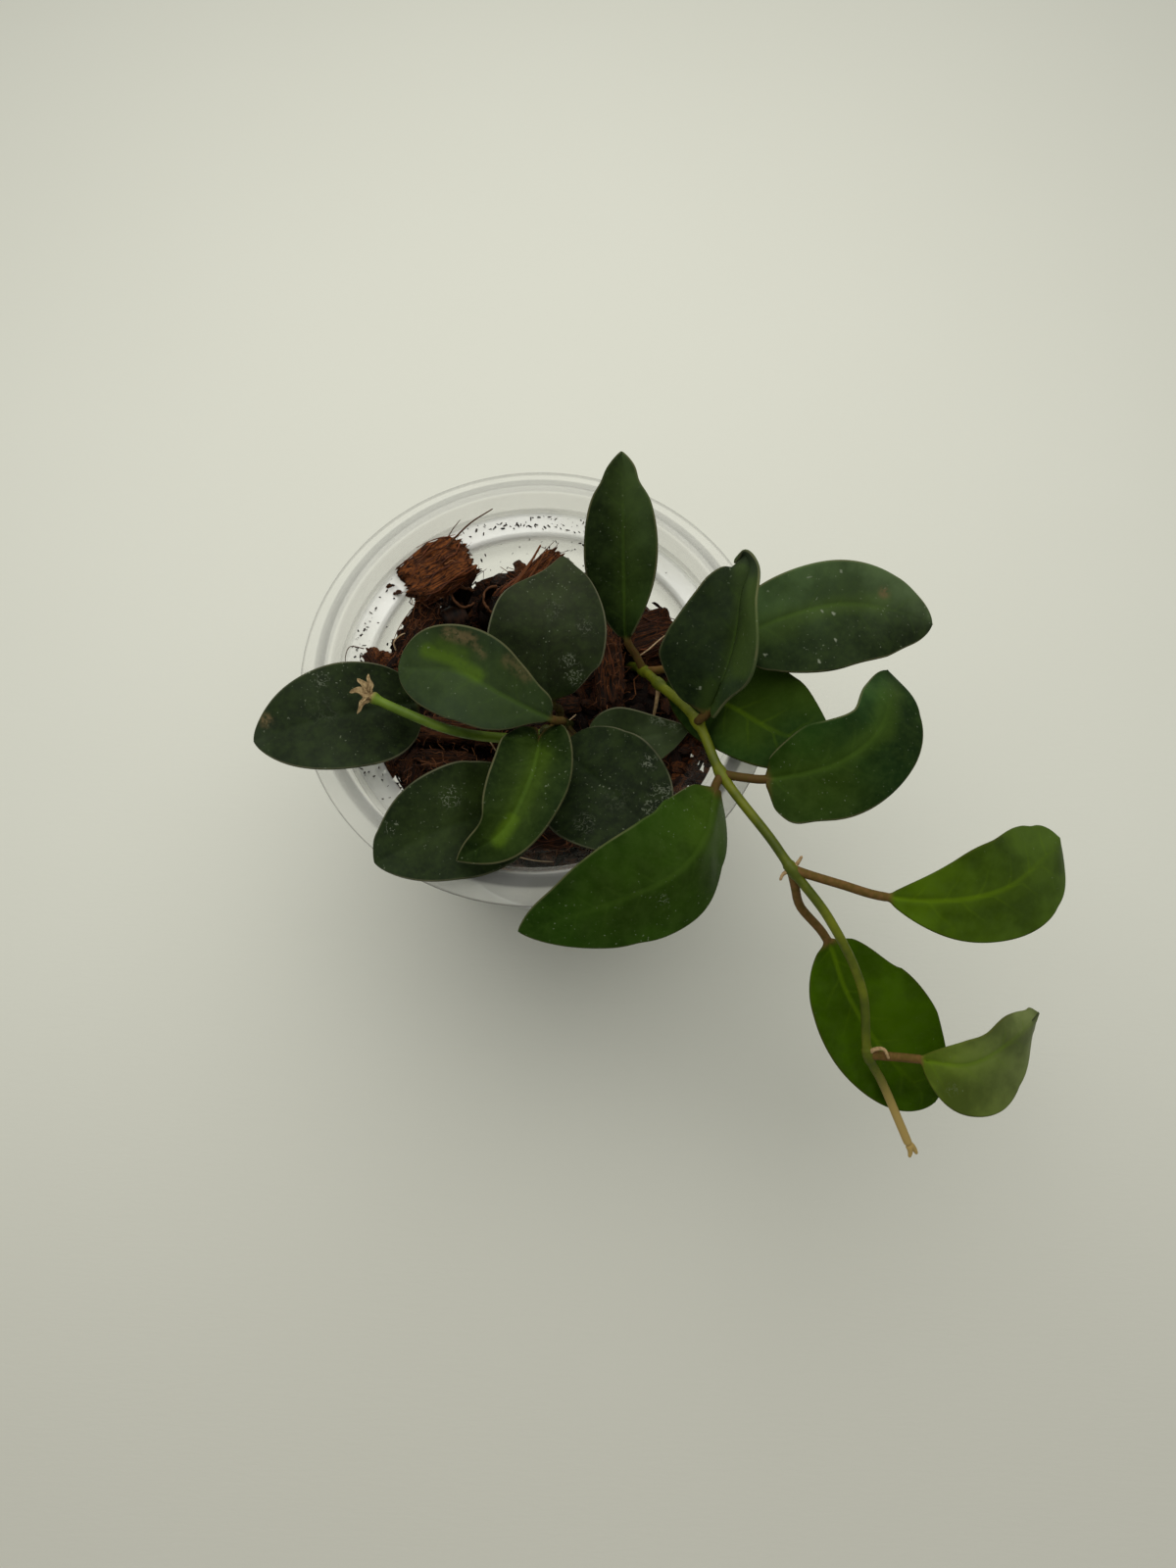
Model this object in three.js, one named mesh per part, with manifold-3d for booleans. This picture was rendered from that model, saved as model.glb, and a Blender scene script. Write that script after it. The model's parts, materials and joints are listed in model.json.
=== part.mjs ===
// A small hoya in a clear nursery pot: coconut husk bedding, loose husk chips, a long
// vine, two short stems, a spent flower stalk and sixteen thick leaves on leaf stalks.
// Millimetres, +Z up. The origin is the middle of the pot's flat underside, and the
// long trailing vine leaves over the lip towards +X and -Y.

import * as THREE from 'three';
import { mergeVertices } from 'three/addons/utils/BufferGeometryUtils.js';
import Module from 'manifold-3d';

const wasm = await Module();
wasm.setup();

// ---- driving dimensions -------------------------------------------------------

const GAP = 0.3; // clearance between pieces that touch

const POT_BASE_RADIUS = 35.5;
const POT_WALL_RADIUS = 41.1; // outside of the body just under the ledge
const POT_COLLAR_RADIUS = 46.6; // outside of the upright collar above the ledge
const POT_LIP_RADIUS = 54; // outer edge of the sloping lip
const POT_LEDGE_HEIGHT = 89;
const POT_LIP_EDGE_HEIGHT = 93.8;
const POT_CREST_HEIGHT = 98.2;
const POT_WALL = 1.2;
const POT_FOOT_ROUND = 1.2; // slope at the foot's corner
const POT_SIDES = 48;
const DRAIN_COUNT = 8;
const DRAIN_RADIUS = 3.2;
const DRAIN_CIRCLE_RADIUS = 24;

const BED_EDGE_HEIGHT = 69; // where the bedding meets the pot's wall
const BED_MOUND = 6; // how far the middle rises above the edge
const BED_LUMPS = 1.3; // height of its lumps
const BED_SLOPE = 0.13; // rise towards the back
const BED_SIDES = 44;

const LEAF_EDGE_THICKNESS = 0.7;
const LEAF_RIB_THICKNESS = 1.4;
const STALK_RADIUS = 0.95;
const BLADE_STEPS = 12;
const STALK_STEPS = 4;

const STEM_RADIUS = 1.15;
const STEM_NODE_RADIUS = 1.55;

// ---- small helpers ------------------------------------------------------------

const vec = (p) => new THREE.Vector3(p[0], p[1], p[2]);
const lerp = THREE.MathUtils.lerp;
const smooth = THREE.MathUtils.smoothstep;
const radians = THREE.MathUtils.degToRad;

function curveOf(points) {
  return new THREE.CatmullRomCurve3(points.map(vec), false, 'centripetal');
}

// A repeatable number from 0 to 1 for a given whole number.
function chance(n) {
  const s = Math.sin(n * 127.1 + 11.7) * 43758.5453;
  return s - Math.floor(s);
}

// A closed skin through rings of points, each ring with as many points as the last,
// capped at both ends from the ring's middle.
function loft(rings) {
  const count = rings[0].length;
  const position = [];
  const index = [];
  for (const ring of rings) {
    for (const p of ring) position.push(p.x, p.y, p.z);
  }
  for (let r = 0; r < rings.length - 1; r++) {
    for (let i = 0; i < count; i++) {
      const a = r * count + i;
      const b = r * count + ((i + 1) % count);
      index.push(a, b, b + count);
      index.push(a, b + count, a + count);
    }
  }
  for (const last of [false, true]) {
    const ring = last ? rings[rings.length - 1] : rings[0];
    const first = last ? (rings.length - 1) * count : 0;
    const middle = ring.reduce((sum, p) => sum.add(p), new THREE.Vector3()).divideScalar(count);
    const centre = position.length / 3;
    position.push(middle.x, middle.y, middle.z);
    for (let i = 0; i < count; i++) {
      const a = first + i;
      const b = first + ((i + 1) % count);
      if (last) index.push(centre, a, b);
      else index.push(centre, b, a);
    }
  }
  const geometry = new THREE.BufferGeometry();
  geometry.setAttribute('position', new THREE.Float32BufferAttribute(position, 3));
  geometry.setIndex(index);
  return geometry;
}

// A round shoot along a curve; radiusAt gives its radius at each share of its length,
// and past is how far each end runs on beyond the curve.
function shoot(points, radiusAt, steps, sides, past = 0) {
  const path = curveOf(points);
  const frames = path.computeFrenetFrames(steps);
  const rings = [];
  for (let k = 0; k <= steps; k++) {
    const middle = path.getPointAt(k / steps);
    if (k === 0) middle.addScaledVector(frames.tangents[k], -past);
    if (k === steps) middle.addScaledVector(frames.tangents[k], past);
    const ring = [];
    for (let i = 0; i < sides; i++) {
      const turn = (2 * Math.PI * i) / sides;
      const out = frames.normals[k].clone().multiplyScalar(Math.cos(turn));
      out.addScaledVector(frames.binormals[k], Math.sin(turn));
      ring.push(middle.clone().addScaledVector(out, radiusAt(k / steps)));
    }
    rings.push(ring);
  }
  return loft(rings);
}

// ---- joining and cutting ------------------------------------------------------

function toSolid(geometry) {
  const plain = geometry.clone();
  plain.deleteAttribute('normal');
  plain.deleteAttribute('uv');
  const merged = mergeVertices(plain, 1e-4);
  return new wasm.Manifold(new wasm.Mesh({
    numProp: 3,
    vertProperties: Float32Array.from(merged.attributes.position.array),
    triVerts: Uint32Array.from(merged.index.array),
  }));
}

function toGeometry(solid) {
  const mesh = solid.getMesh();
  const geometry = new THREE.BufferGeometry();
  geometry.setAttribute('position', new THREE.BufferAttribute(mesh.vertProperties, 3));
  geometry.setIndex(new THREE.BufferAttribute(mesh.triVerts, 1));
  return geometry;
}

function join(geometries) {
  return toGeometry(geometries.map(toSolid).reduce((whole, piece) => whole.add(piece)));
}

function cut(geometry, cutters) {
  let solid = toSolid(geometry);
  for (const cutter of cutters) solid = solid.subtract(toSolid(cutter));
  return toGeometry(solid);
}

// ---- materials ----------------------------------------------------------------

const look = (color, roughness) => new THREE.MeshStandardMaterial({ color, roughness, metalness: 0 });

const HUSK_DARK = 0x3a1d10;
const HUSK_RED = 0x6b3319;
const HUSK_TAN = 0x8a5430;
const STEM_GREEN = 0x87991f;
const STALK_GREEN = 0x8fae3a;
const LEAF_GREY = 0x26382c;
const LEAF_DARK = 0x1f3a1e;
const LEAF_GREEN = 0x2f5a1c;
const LEAF_FRESH = 0x4b7a22;

const clearPlastic = look(0xdfe3df, 0.18);
clearPlastic.transparent = true;
clearPlastic.opacity = 0.35;

const plant = new THREE.Group();

function place(name, geometry, material) {
  const mesh = new THREE.Mesh(geometry, material);
  mesh.name = name;
  plant.add(mesh);
}

// ---- pot ----------------------------------------------------------------------

function potProfile() {
  const inner = POT_WALL;
  const outline = [
    [0, 0],
    [POT_BASE_RADIUS - POT_FOOT_ROUND, 0],
    [POT_BASE_RADIUS, POT_FOOT_ROUND],
    [POT_WALL_RADIUS, POT_LEDGE_HEIGHT - inner],
    [POT_COLLAR_RADIUS, POT_LEDGE_HEIGHT - inner],
    [POT_COLLAR_RADIUS + 0.4, POT_CREST_HEIGHT - 2.4],
    [POT_COLLAR_RADIUS + 2.2, POT_CREST_HEIGHT - 2.5],
    [POT_LIP_RADIUS - 0.6, POT_LIP_EDGE_HEIGHT - 0.6],
    [POT_LIP_RADIUS, POT_LIP_EDGE_HEIGHT],
    [POT_LIP_RADIUS - 0.3, POT_LIP_EDGE_HEIGHT + 0.9],
    [POT_LIP_RADIUS - 4.6, POT_CREST_HEIGHT - 1.2],
    [POT_LIP_RADIUS - 6.5, POT_CREST_HEIGHT],
    [POT_COLLAR_RADIUS - 0.6, POT_CREST_HEIGHT - 0.6],
    [POT_COLLAR_RADIUS - inner, POT_LEDGE_HEIGHT + 0.5],
    [POT_COLLAR_RADIUS - inner - 0.5, POT_LEDGE_HEIGHT],
    [POT_WALL_RADIUS - 0.5, POT_LEDGE_HEIGHT],
    [POT_WALL_RADIUS - inner, POT_LEDGE_HEIGHT - 0.8],
    [POT_BASE_RADIUS - inner, inner + POT_FOOT_ROUND],
    [POT_BASE_RADIUS - inner - POT_FOOT_ROUND, inner],
    [0, inner],
  ];
  return outline.map(([radius, height]) => new THREE.Vector2(radius, height));
}

function upright(geometry) {
  return geometry.rotateX(Math.PI / 2);
}

function potGeometry() {
  const shell = upright(new THREE.LatheGeometry(potProfile(), POT_SIDES));
  const drains = [];
  for (let i = 0; i < DRAIN_COUNT; i++) {
    const turn = (2 * Math.PI * (i + 0.5)) / DRAIN_COUNT;
    const drain = upright(new THREE.CylinderGeometry(DRAIN_RADIUS, DRAIN_RADIUS, 8, 12));
    drain.translate(DRAIN_CIRCLE_RADIUS * Math.cos(turn), DRAIN_CIRCLE_RADIUS * Math.sin(turn), 0);
    drains.push(drain);
  }
  return cut(shell, drains);
}

// Inner radius of the pot's body at a height.
function potInside(height) {
  const share = (height - POT_FOOT_ROUND) / (POT_LEDGE_HEIGHT - POT_WALL - POT_FOOT_ROUND);
  return lerp(POT_BASE_RADIUS, POT_WALL_RADIUS, share) - POT_WALL;
}

// ---- husk chips ---------------------------------------------------------------
// at: middle of the chip; size: length, width, thickness; turn: about Z; tip: how far
// the length tips up; roll: about the length; bend: how far the ends curl down.

const CHIPS = [
  { name: 'husk_chunk_back_left', color: HUSK_RED, at: [-24.5, 29.5, 90], size: [15, 11, 7],
    turn: 28, tip: 6, roll: 6, bend: 1 },
  { name: 'husk_plate_left', color: HUSK_TAN, at: [-31, 18, 80], size: [17, 10, 4.5],
    turn: 52, tip: 8, roll: 12, bend: 1.5 },
  { name: 'husk_bundle_back', color: HUSK_RED, at: [-4, 28.5, 81.5], size: [22, 7, 6],
    turn: 38, tip: 16, roll: 0, bend: 0.8 },
  { name: 'husk_strip_middle', color: HUSK_RED, at: [-19, 14, 79], size: [18, 6, 5],
    turn: 5, tip: 0, roll: 5, bend: 1 },
  { name: 'husk_chip_left_edge', color: HUSK_TAN, at: [-33.5, 7, 75.5], size: [11, 7, 5],
    turn: -30, tip: 4, roll: 8, bend: 0.5 },
  { name: 'husk_chunk_middle', color: HUSK_RED, at: [16.5, 9, 79], size: [21, 6.5, 7],
    turn: 94, tip: 6, roll: 4, bend: 1 },
  { name: 'husk_chip_right', color: HUSK_TAN, at: [28, 19, 78], size: [14, 10, 5],
    turn: 24, tip: 8, roll: -10, bend: 1 },
  { name: 'husk_strip_upper_left', color: HUSK_TAN, at: [-20, -7, 77], size: [21, 5.5, 5],
    turn: -4, tip: 0, roll: 6, bend: 0.8 },
  { name: 'husk_strip_lower_left', color: HUSK_RED, at: [-22, -14.5, 75], size: [14, 5.5, 5],
    turn: -10, tip: 0, roll: 6, bend: 0.6 },
  { name: 'husk_chip_front_left', color: HUSK_TAN, at: [-31, -17, 73], size: [12, 7, 4.5],
    turn: 60, tip: 4, roll: 4, bend: 0.6 },
  { name: 'husk_chip_front', color: HUSK_RED, at: [2, -31, 71.5], size: [18, 8, 5],
    turn: 12, tip: 0, roll: 4, bend: 0.8 },
  { name: 'husk_chip_front_right', color: HUSK_RED, at: [31, -12, 74.5], size: [15, 8, 5],
    turn: 75, tip: -4, roll: 4, bend: 1 },
];

// from and sweep: the arc that the curl covers, in degrees.
const SHELLS = [
  { name: 'husk_shell_right', color: HUSK_DARK, at: [-11.5, 23, 80.5], radius: 4, width: 6,
    turn: 80, from: 20, sweep: 240 },
  { name: 'husk_shell_left', color: HUSK_DARK, at: [-20.5, 20, 82.5], radius: 3.5, width: 6,
    turn: 115, from: -20, sweep: 220 },
];
const SHELL_THICKNESS = 1.1;
const SHELL_ARC_STEPS = 7;

function settle(geometry, piece) {
  geometry.rotateX(radians(piece.roll ?? 0));
  geometry.rotateY(-radians(piece.tip ?? 0));
  geometry.rotateZ(radians(piece.turn));
  return geometry.translate(...piece.at);
}

// A torn block of husk: a box with its corners knocked about and its ends curled down.
// grow makes it larger all round, which gives the hollow that it lies in.
function chipGeometry(chip, number, grow, cuts = [4, 2, 1]) {
  const [length, width, height] = chip.size;
  const box = new THREE.BoxGeometry(length + 2 * grow, width + 2 * grow, height + 2 * grow, ...cuts);
  box.deleteAttribute('normal');
  box.deleteAttribute('uv');
  const block = mergeVertices(box, 1e-4);
  const position = block.attributes.position;
  for (let i = 0; i < position.count; i++) {
    const knock = (axis) => (chance(number * 97 + i * 3 + axis) - 0.5) * 2;
    const along = position.getX(i) / (length / 2);
    const taper = 1 - 0.2 * along * along;
    position.setX(i, position.getX(i) + knock(0) * length * 0.03);
    position.setY(i, position.getY(i) * taper + knock(1) * width * 0.07);
    position.setZ(i, position.getZ(i) + knock(2) * height * 0.1 - chip.bend * along * along);
  }
  return settle(block, chip);
}

// A curled sliver of shell, lying on its side like a short tube that is open along it.
function shellGeometry(shell, grow) {
  const outline = new THREE.Shape();
  const past = grow / (shell.radius - SHELL_THICKNESS);
  const from = radians(shell.from) - past;
  const to = radians(shell.from + shell.sweep) + past;
  outline.absarc(0, 0, shell.radius + grow, from, to, false);
  outline.absarc(0, 0, shell.radius - SHELL_THICKNESS - grow, to, from, true);
  const width = shell.width + 2 * grow;
  const curl = new THREE.ExtrudeGeometry(outline, {
    depth: width,
    bevelEnabled: false,
    curveSegments: SHELL_ARC_STEPS,
  });
  curl.translate(0, 0, -width / 2);
  curl.rotateX(Math.PI / 2);
  return settle(curl, shell);
}

// ---- stems --------------------------------------------------------------------
// Each route runs from deep in the bedding to the stem's end; nodes lists the points
// of the route where leaves grow.

const VINE = {
  route: [
    [20, 17, 60], [22.5, 11, 75], [25, 6, 83], [28, -0.5, 90], [35.5, -14, 100], [40, -27, 102.5],
    [50, -41.5, 102], [54, -47.5, 101], [61.5, -57, 98], [69, -70.5, 91], [71, -83.5, 84],
    [74.5, -89, 80], [81.5, -101.5, 71],
  ],
  nodes: [2, 3, 4, 5, 7, 10],
  steps: 50,
  tipShare: 0.8,
};
const INNER = {
  route: [[9, 1, 60], [7, -4, 74], [6, -7, 81], [4.5, -11.5, 90], [2.5, -16, 99], [2.7, -16.3, 102]],
  nodes: [2, 3, 4],
  steps: 22,
  tipShare: 1,
};
const SIDE = {
  route: [[-8, 3, 60], [-10, 0, 75], [-12.5, -4, 89]],
  nodes: [2],
  steps: 14,
  tipShare: 1,
};

const NODE_SPREAD = 1.6; // how far along the stem a node's swelling reaches

// Share of a route's length at one of its points.
function shareAt(points, number) {
  const lengths = curveOf(points).getLengths(600);
  return lengths[Math.round((600 * number) / (points.length - 1))] / lengths[600];
}

function stemGeometry(stem, grow) {
  const length = curveOf(stem.route).getLength();
  const shares = stem.nodes.map((number) => shareAt(stem.route, number));
  const radiusAt = (share) => {
    const away = Math.min(...shares.map((s) => Math.abs(share - s) * length));
    const swell = Math.exp(-((away / NODE_SPREAD) ** 2));
    const plain = STEM_RADIUS * lerp(1, stem.tipShare, share);
    return plain + (STEM_NODE_RADIUS - STEM_RADIUS) * swell + grow;
  };
  return shoot(stem.route, radiusAt, stem.steps, 8, grow);
}

// Short dry roots at the vine's nodes.
const ROOTLETS = [
  [[28, -0.5, 90], [27.5, -4, 87.5], [27, -6, 83]],
  [[54, -47.5, 101], [55.8, -45.4, 102.6], [56.8, -44, 103.4]],
  [[54, -47.5, 101], [51.5, -48.5, 100.6], [50.6, -50.4, 99.8]],
  [[71, -83.5, 84], [71.8, -82.2, 86.6], [74.6, -82.4, 87.8], [75.8, -86, 87]],
];
const VINE_TIP_BUDS = [
  [[81.3, -101.2, 71.2], [81.8, -103.4, 70], [81, -105.2, 69]],
  [[81.3, -101.2, 71.2], [83.4, -102.6, 70], [84.4, -104.6, 69.2]],
];

function vineGeometry() {
  const roots = ROOTLETS.map((points) => shoot(points, (share) => lerp(0.62, 0.35, share), 5, 6));
  const buds = VINE_TIP_BUDS.map((points) => shoot(points, (share) => lerp(1, 0.35, share), 4, 6));
  return join([stemGeometry(VINE, 0), ...roots, ...buds]);
}

// ---- spent flower stalk -------------------------------------------------------

const FLOWER_STALK_ROUTE = [
  [3.2, -14.2, 95.5], [-1, -16.4, 96.8], [-9, -18, 101], [-18, -18.5, 107], [-29.5, -15, 111],
  [-34, -13, 112],
];
const BRACT_ROOT = [-33.6, -13.2, 112];
const BRACT_TIPS = [
  [-37, -9, 113.2], [-39, -12.4, 112.6], [-36.6, -18.2, 112], [-34.2, -8.2, 113.8], [-35, -16.6, 115.4],
];

function flowerStalkGeometry() {
  const radiusAt = (share) => lerp(1.2, 0.95, share) + 0.5 * smooth(share, 0.94, 1);
  const stalk = shoot(FLOWER_STALK_ROUTE, radiusAt, 16, 8);
  const bracts = BRACT_TIPS.map((tip) => {
    const middle = vec(BRACT_ROOT).lerp(vec(tip), 0.55).add(new THREE.Vector3(0, 0, 0.6));
    return shoot([BRACT_ROOT, middle.toArray(), tip], (share) => lerp(1.05, 0.4, share), 4, 6);
  });
  return cut(join([stalk, ...bracts]), [stemGeometry(INNER, GAP)]);
}

// ---- leaves -------------------------------------------------------------------
// stalk: points from the stem up to the blade. rib: points along the blade, base to tip.
// right, left: half widths, seen from above with the tip ahead. heel and point: how
// blunt the base is and how drawn out the tip. face: which way the upper side looks, at
// the base and at the tip. fold: how steeply the right and left halves rise from the
// rib, in degrees; cup: how much steeper their edges are. wave: height of the edge's wave.

const vineAt = (number) => VINE.route[number];
const innerAt = (number) => INNER.route[number];

const LEAVES = [
  { name: 'leaf_01_back', color: LEAF_DARK, stalk: [vineAt(2), [23, 9, 85.5]],
    rib: [[21, 11, 88.5], [20, 20.5, 97], [19.5, 32, 108], [19, 43.5, 117]],
    right: 8.4, left: 9.5, heel: 0.85, point: 0.9, face: [[-0.2, -0.6, 1], [0.2, -0.6, 0.8]],
    fold: [22, 10], cup: 8, wave: 0.4 },
  { name: 'leaf_02_middle_back', color: LEAF_GREY, stalk: [innerAt(3), [5.2, -8.5, 93]],
    rib: [[3.5, -8.5, 98], [2, -3, 103.5], [3, 5, 108], [6, 22.5, 108]],
    right: 13, left: 13, heel: 0.55, point: 0.75, face: [[0, -0.8, 1], [0, -0.1, 1]],
    fold: [6, 6], cup: 8, wave: 0.7 },
  { name: 'leaf_03_middle_left', color: LEAF_GREEN, stalk: [innerAt(4), [6, -14.8, 101.8]],
    rib: [[4, -16.5, 107.5], [-6.5, -13, 113], [-15, -9, 115], [-28, -7, 113]],
    right: 9.8, left: 10, heel: 0.85, point: 0.55, face: [[0, -0.4, 1], [-0.2, -0.3, 1]],
    fold: [10, 4], cup: 6, wave: 0.4 },
  { name: 'leaf_04_left', color: LEAF_GREY, stalk: [SIDE.route[2], [-18.5, -7, 95]],
    rib: [[-25.5, -9, 99], [-34, -12.5, 103], [-44.5, -16, 106], [-59, -21, 106]],
    right: 11.5, left: 12.5, heel: 0.5, point: 0.75, face: [[0, -0.2, 1], [-0.1, -0.2, 1]],
    fold: [6, 6], cup: 6, wave: 0.5 },
  { name: 'leaf_05_front_left', color: LEAF_GREY, stalk: [innerAt(2), [2.8, -11.2, 81.2], [0.8, -20, 87]],
    rib: [[0, -28, 95], [-9, -35, 99.5], [-19.5, -40, 103], [-32.5, -46.5, 103]],
    right: 13, left: 12, heel: 0.6, point: 0.7, face: [[0, -0.3, 1], [0, -0.2, 1]],
    fold: [6, 6], cup: 8, wave: 0.5 },
  { name: 'leaf_06_front_middle', color: LEAF_GREY, stalk: [innerAt(3), [7.4, -14.4, 91.6]],
    rib: [[6.5, -19, 95], [11.5, -25.5, 98.5], [18.5, -33, 101], [26, -41.5, 102]],
    right: 14.5, left: 13.5, heel: 0.5, point: 0.55, face: [[0, -0.2, 1], [0, -0.1, 1]],
    fold: [6, 6], cup: 8, wave: 0.5 },
  { name: 'leaf_07_front_striped', color: LEAF_GREEN, stalk: [innerAt(4), [1.2, -18.9, 100.4]],
    rib: [[1, -20.5, 104], [1, -25, 108.5], [-0.5, -32, 111], [-5.5, -42, 111], [-15, -47.5, 108]],
    right: 8.5, left: 8.5, heel: 0.5, point: 0.85, face: [[0, -0.3, 1], [0, -0.3, 1]],
    fold: [10, 14], cup: 6, wave: 0.4 },
  { name: 'leaf_08_middle_small', color: LEAF_GREY, stalk: [innerAt(2), [8.6, -11, 83.2]],
    rib: [[11, -16, 86.5], [18, -14.4, 89], [26.5, -14, 90.2], [34.5, -12.4, 88.2]],
    right: 7.5, left: 6.5, heel: 0.6, point: 0.75, face: [[0, -0.3, 1], [0, -0.2, 1]],
    fold: [5, 8], cup: 6, wave: 0.3 },
  { name: 'leaf_09_front_large', color: LEAF_GREEN, stalk: [vineAt(5), [38.6, -29.6, 103.4]],
    rib: [[38, -31.5, 104.5], [35.5, -42, 109], [29, -51, 112], [18, -56, 111], [-2.5, -61, 104]],
    right: 13, left: 12, heel: 0.55, point: 0.8, face: [[0.1, -0.3, 1], [-0.1, -0.5, 1]],
    fold: [8, -58], foldTip: [6, 6], cup: 6, wave: 0.7 },
  { name: 'leaf_10_curled_tip', color: LEAF_DARK, stalk: [vineAt(4), [35.8, -14.6, 103]],
    rib: [[37.5, -13.5, 105.5], [40.5, -8.5, 112], [42, -2.5, 119], [43, 4, 124],
      [44.5, 9, 126.5], [43.5, 12, 126.5], [41.5, 11, 124.5]],
    right: 12, left: 15, heel: 0.6, point: 1.25, face: [[-0.3, -0.9, 0.8], [-0.2, -0.7, 0.9]],
    fold: [62, 8], cup: 4, wave: 0.4 },
  { name: 'leaf_11_right_large', color: LEAF_DARK, stalk: [vineAt(4), [40, -9.8, 101.4]],
    rib: [[41.5, -0.5, 109], [47.5, 2.5, 112], [64, 6.5, 115], [75.5, 6.5, 113], [86, 5, 109]],
    right: 14, left: 9.5, heel: 0.55, point: 0.65, face: [[0, -0.2, 1], [0, -0.2, 1]],
    fold: [4, 14], cup: 6, wave: 0.5 },
  { name: 'leaf_12_right_lower', color: LEAF_FRESH, stalk: [vineAt(2), [27.6, 5, 85.6]],
    rib: [[30.5, 4, 88], [38, -4.5, 93.5], [44, -11.5, 101], [52, -18, 103.8], [63.5, -22, 104]],
    right: 10, left: 13, heel: 0.6, point: 0.6, face: [[-0.3, 0, 1], [-0.2, -0.2, 1]],
    fold: [-12, 4], foldTip: [6, 4], cup: 6, wave: 0.4 },
  { name: 'leaf_13_curved', color: LEAF_GREEN, stalk: [vineAt(5), [44.5, -28.2, 103.8]],
    rib: [[49, -29, 105], [62.5, -27.5, 110], [70.5, -22, 112], [74.5, -13.5, 111], [75.5, -5.5, 108]],
    right: 11.5, left: 9.2, heel: 0.45, point: 0.75, face: [[0, -0.2, 1], [0, -0.2, 1]],
    fold: [4, 10], foldTip: [-30, 14], cup: 8, wave: 0.7 },
  { name: 'leaf_14_far_right', color: LEAF_FRESH, stalk: [vineAt(7), [63.5, -50.5, 101]],
    rib: [[73, -53, 100], [87.5, -54, 102], [97.5, -51.5, 102], [105.5, -46, 100], [112, -39.5, 97]],
    right: 11.5, left: 9.5, heel: 0.85, point: 0.7, face: [[0, -0.2, 1], [-0.2, -0.2, 1]],
    fold: [4, 12], foldTip: [-40, 12], cup: 6, wave: 0.6 },
  { name: 'leaf_15_hanging', color: LEAF_FRESH, stalk: [vineAt(7), [55, -50.5, 98], [56.5, -53.5, 94]],
    rib: [[63, -59.5, 88], [67.5, -71, 84], [76.5, -83, 77.5], [88, -92.5, 71]],
    right: 10.2, left: 15, heel: 0.6, point: 0.55, face: [[0, -0.1, 1], [0.1, -0.3, 1]],
    fold: [4, 4], cup: 6, wave: 0.5 },
  { name: 'leaf_16_vine_end', color: LEAF_FRESH, stalk: [vineAt(10), [76, -84, 85]],
    rib: [[81, -84.5, 85.5], [90.5, -85.5, 87], [100.5, -81, 86], [108.5, -74.5, 83]],
    right: 12.5, left: 6, heel: 0.85, point: 1.1, face: [[0, -0.2, 1], [-0.2, -0.1, 1]],
    fold: [6, 20], foldTip: [-65, 20], cup: 6, wave: 0.5 },
];

// Points round a leaf's section: across runs -1 at the left edge to 1 at the right, and
// side is 1 on the upper face and -1 on the lower. turn is the same point on a round stalk.
const SECTION_POINTS = 5; // on each face
const SECTION = [];
for (const side of [1, -1]) {
  for (let i = 0; i < SECTION_POINTS; i++) {
    const across = (-1 + (2 * i) / (SECTION_POINTS - 1)) * side;
    const turn = Math.PI * (1 - (i + 0.5) / SECTION_POINTS) + (side < 0 ? Math.PI : 0);
    SECTION.push({ across, side, turn });
  }
}
const WAVES = 9; // radians of edge wave from base to tip
const WAVE_START = { right: 1, left: 3.4 };
const FLAT_BY = 0.12; // share of the blade in which the round stalk flattens out
const BLUNT_TIP = 0.985; // share of the blade at which its outline stops narrowing

// Half width of a blade, as a share of its largest, at a share of its length.
function outlineShare(share, heel, point) {
  const widest = heel / (heel + point);
  const peak = widest ** heel * (1 - widest) ** point;
  return (share ** heel * (1 - share) ** point) / peak;
}

function leafGeometry(leaf) {
  const points = [...leaf.stalk, ...leaf.rib];
  const path = curveOf(points);
  const base = shareAt(points, leaf.stalk.length);
  const rings = [];
  for (let k = 0; k <= STALK_STEPS + BLADE_STEPS; k++) {
    const onBlade = Math.max(0, k - STALK_STEPS) / BLADE_STEPS;
    const share = (1 - Math.cos(Math.PI * onBlade ** 0.9)) / 2;
    const along = k < STALK_STEPS ? lerp(0, base, k / STALK_STEPS) : lerp(base, 1, share);
    rings.push(leafRing(leaf, path, along, Math.min(share, BLUNT_TIP)));
  }
  return loft(rings);
}

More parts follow.
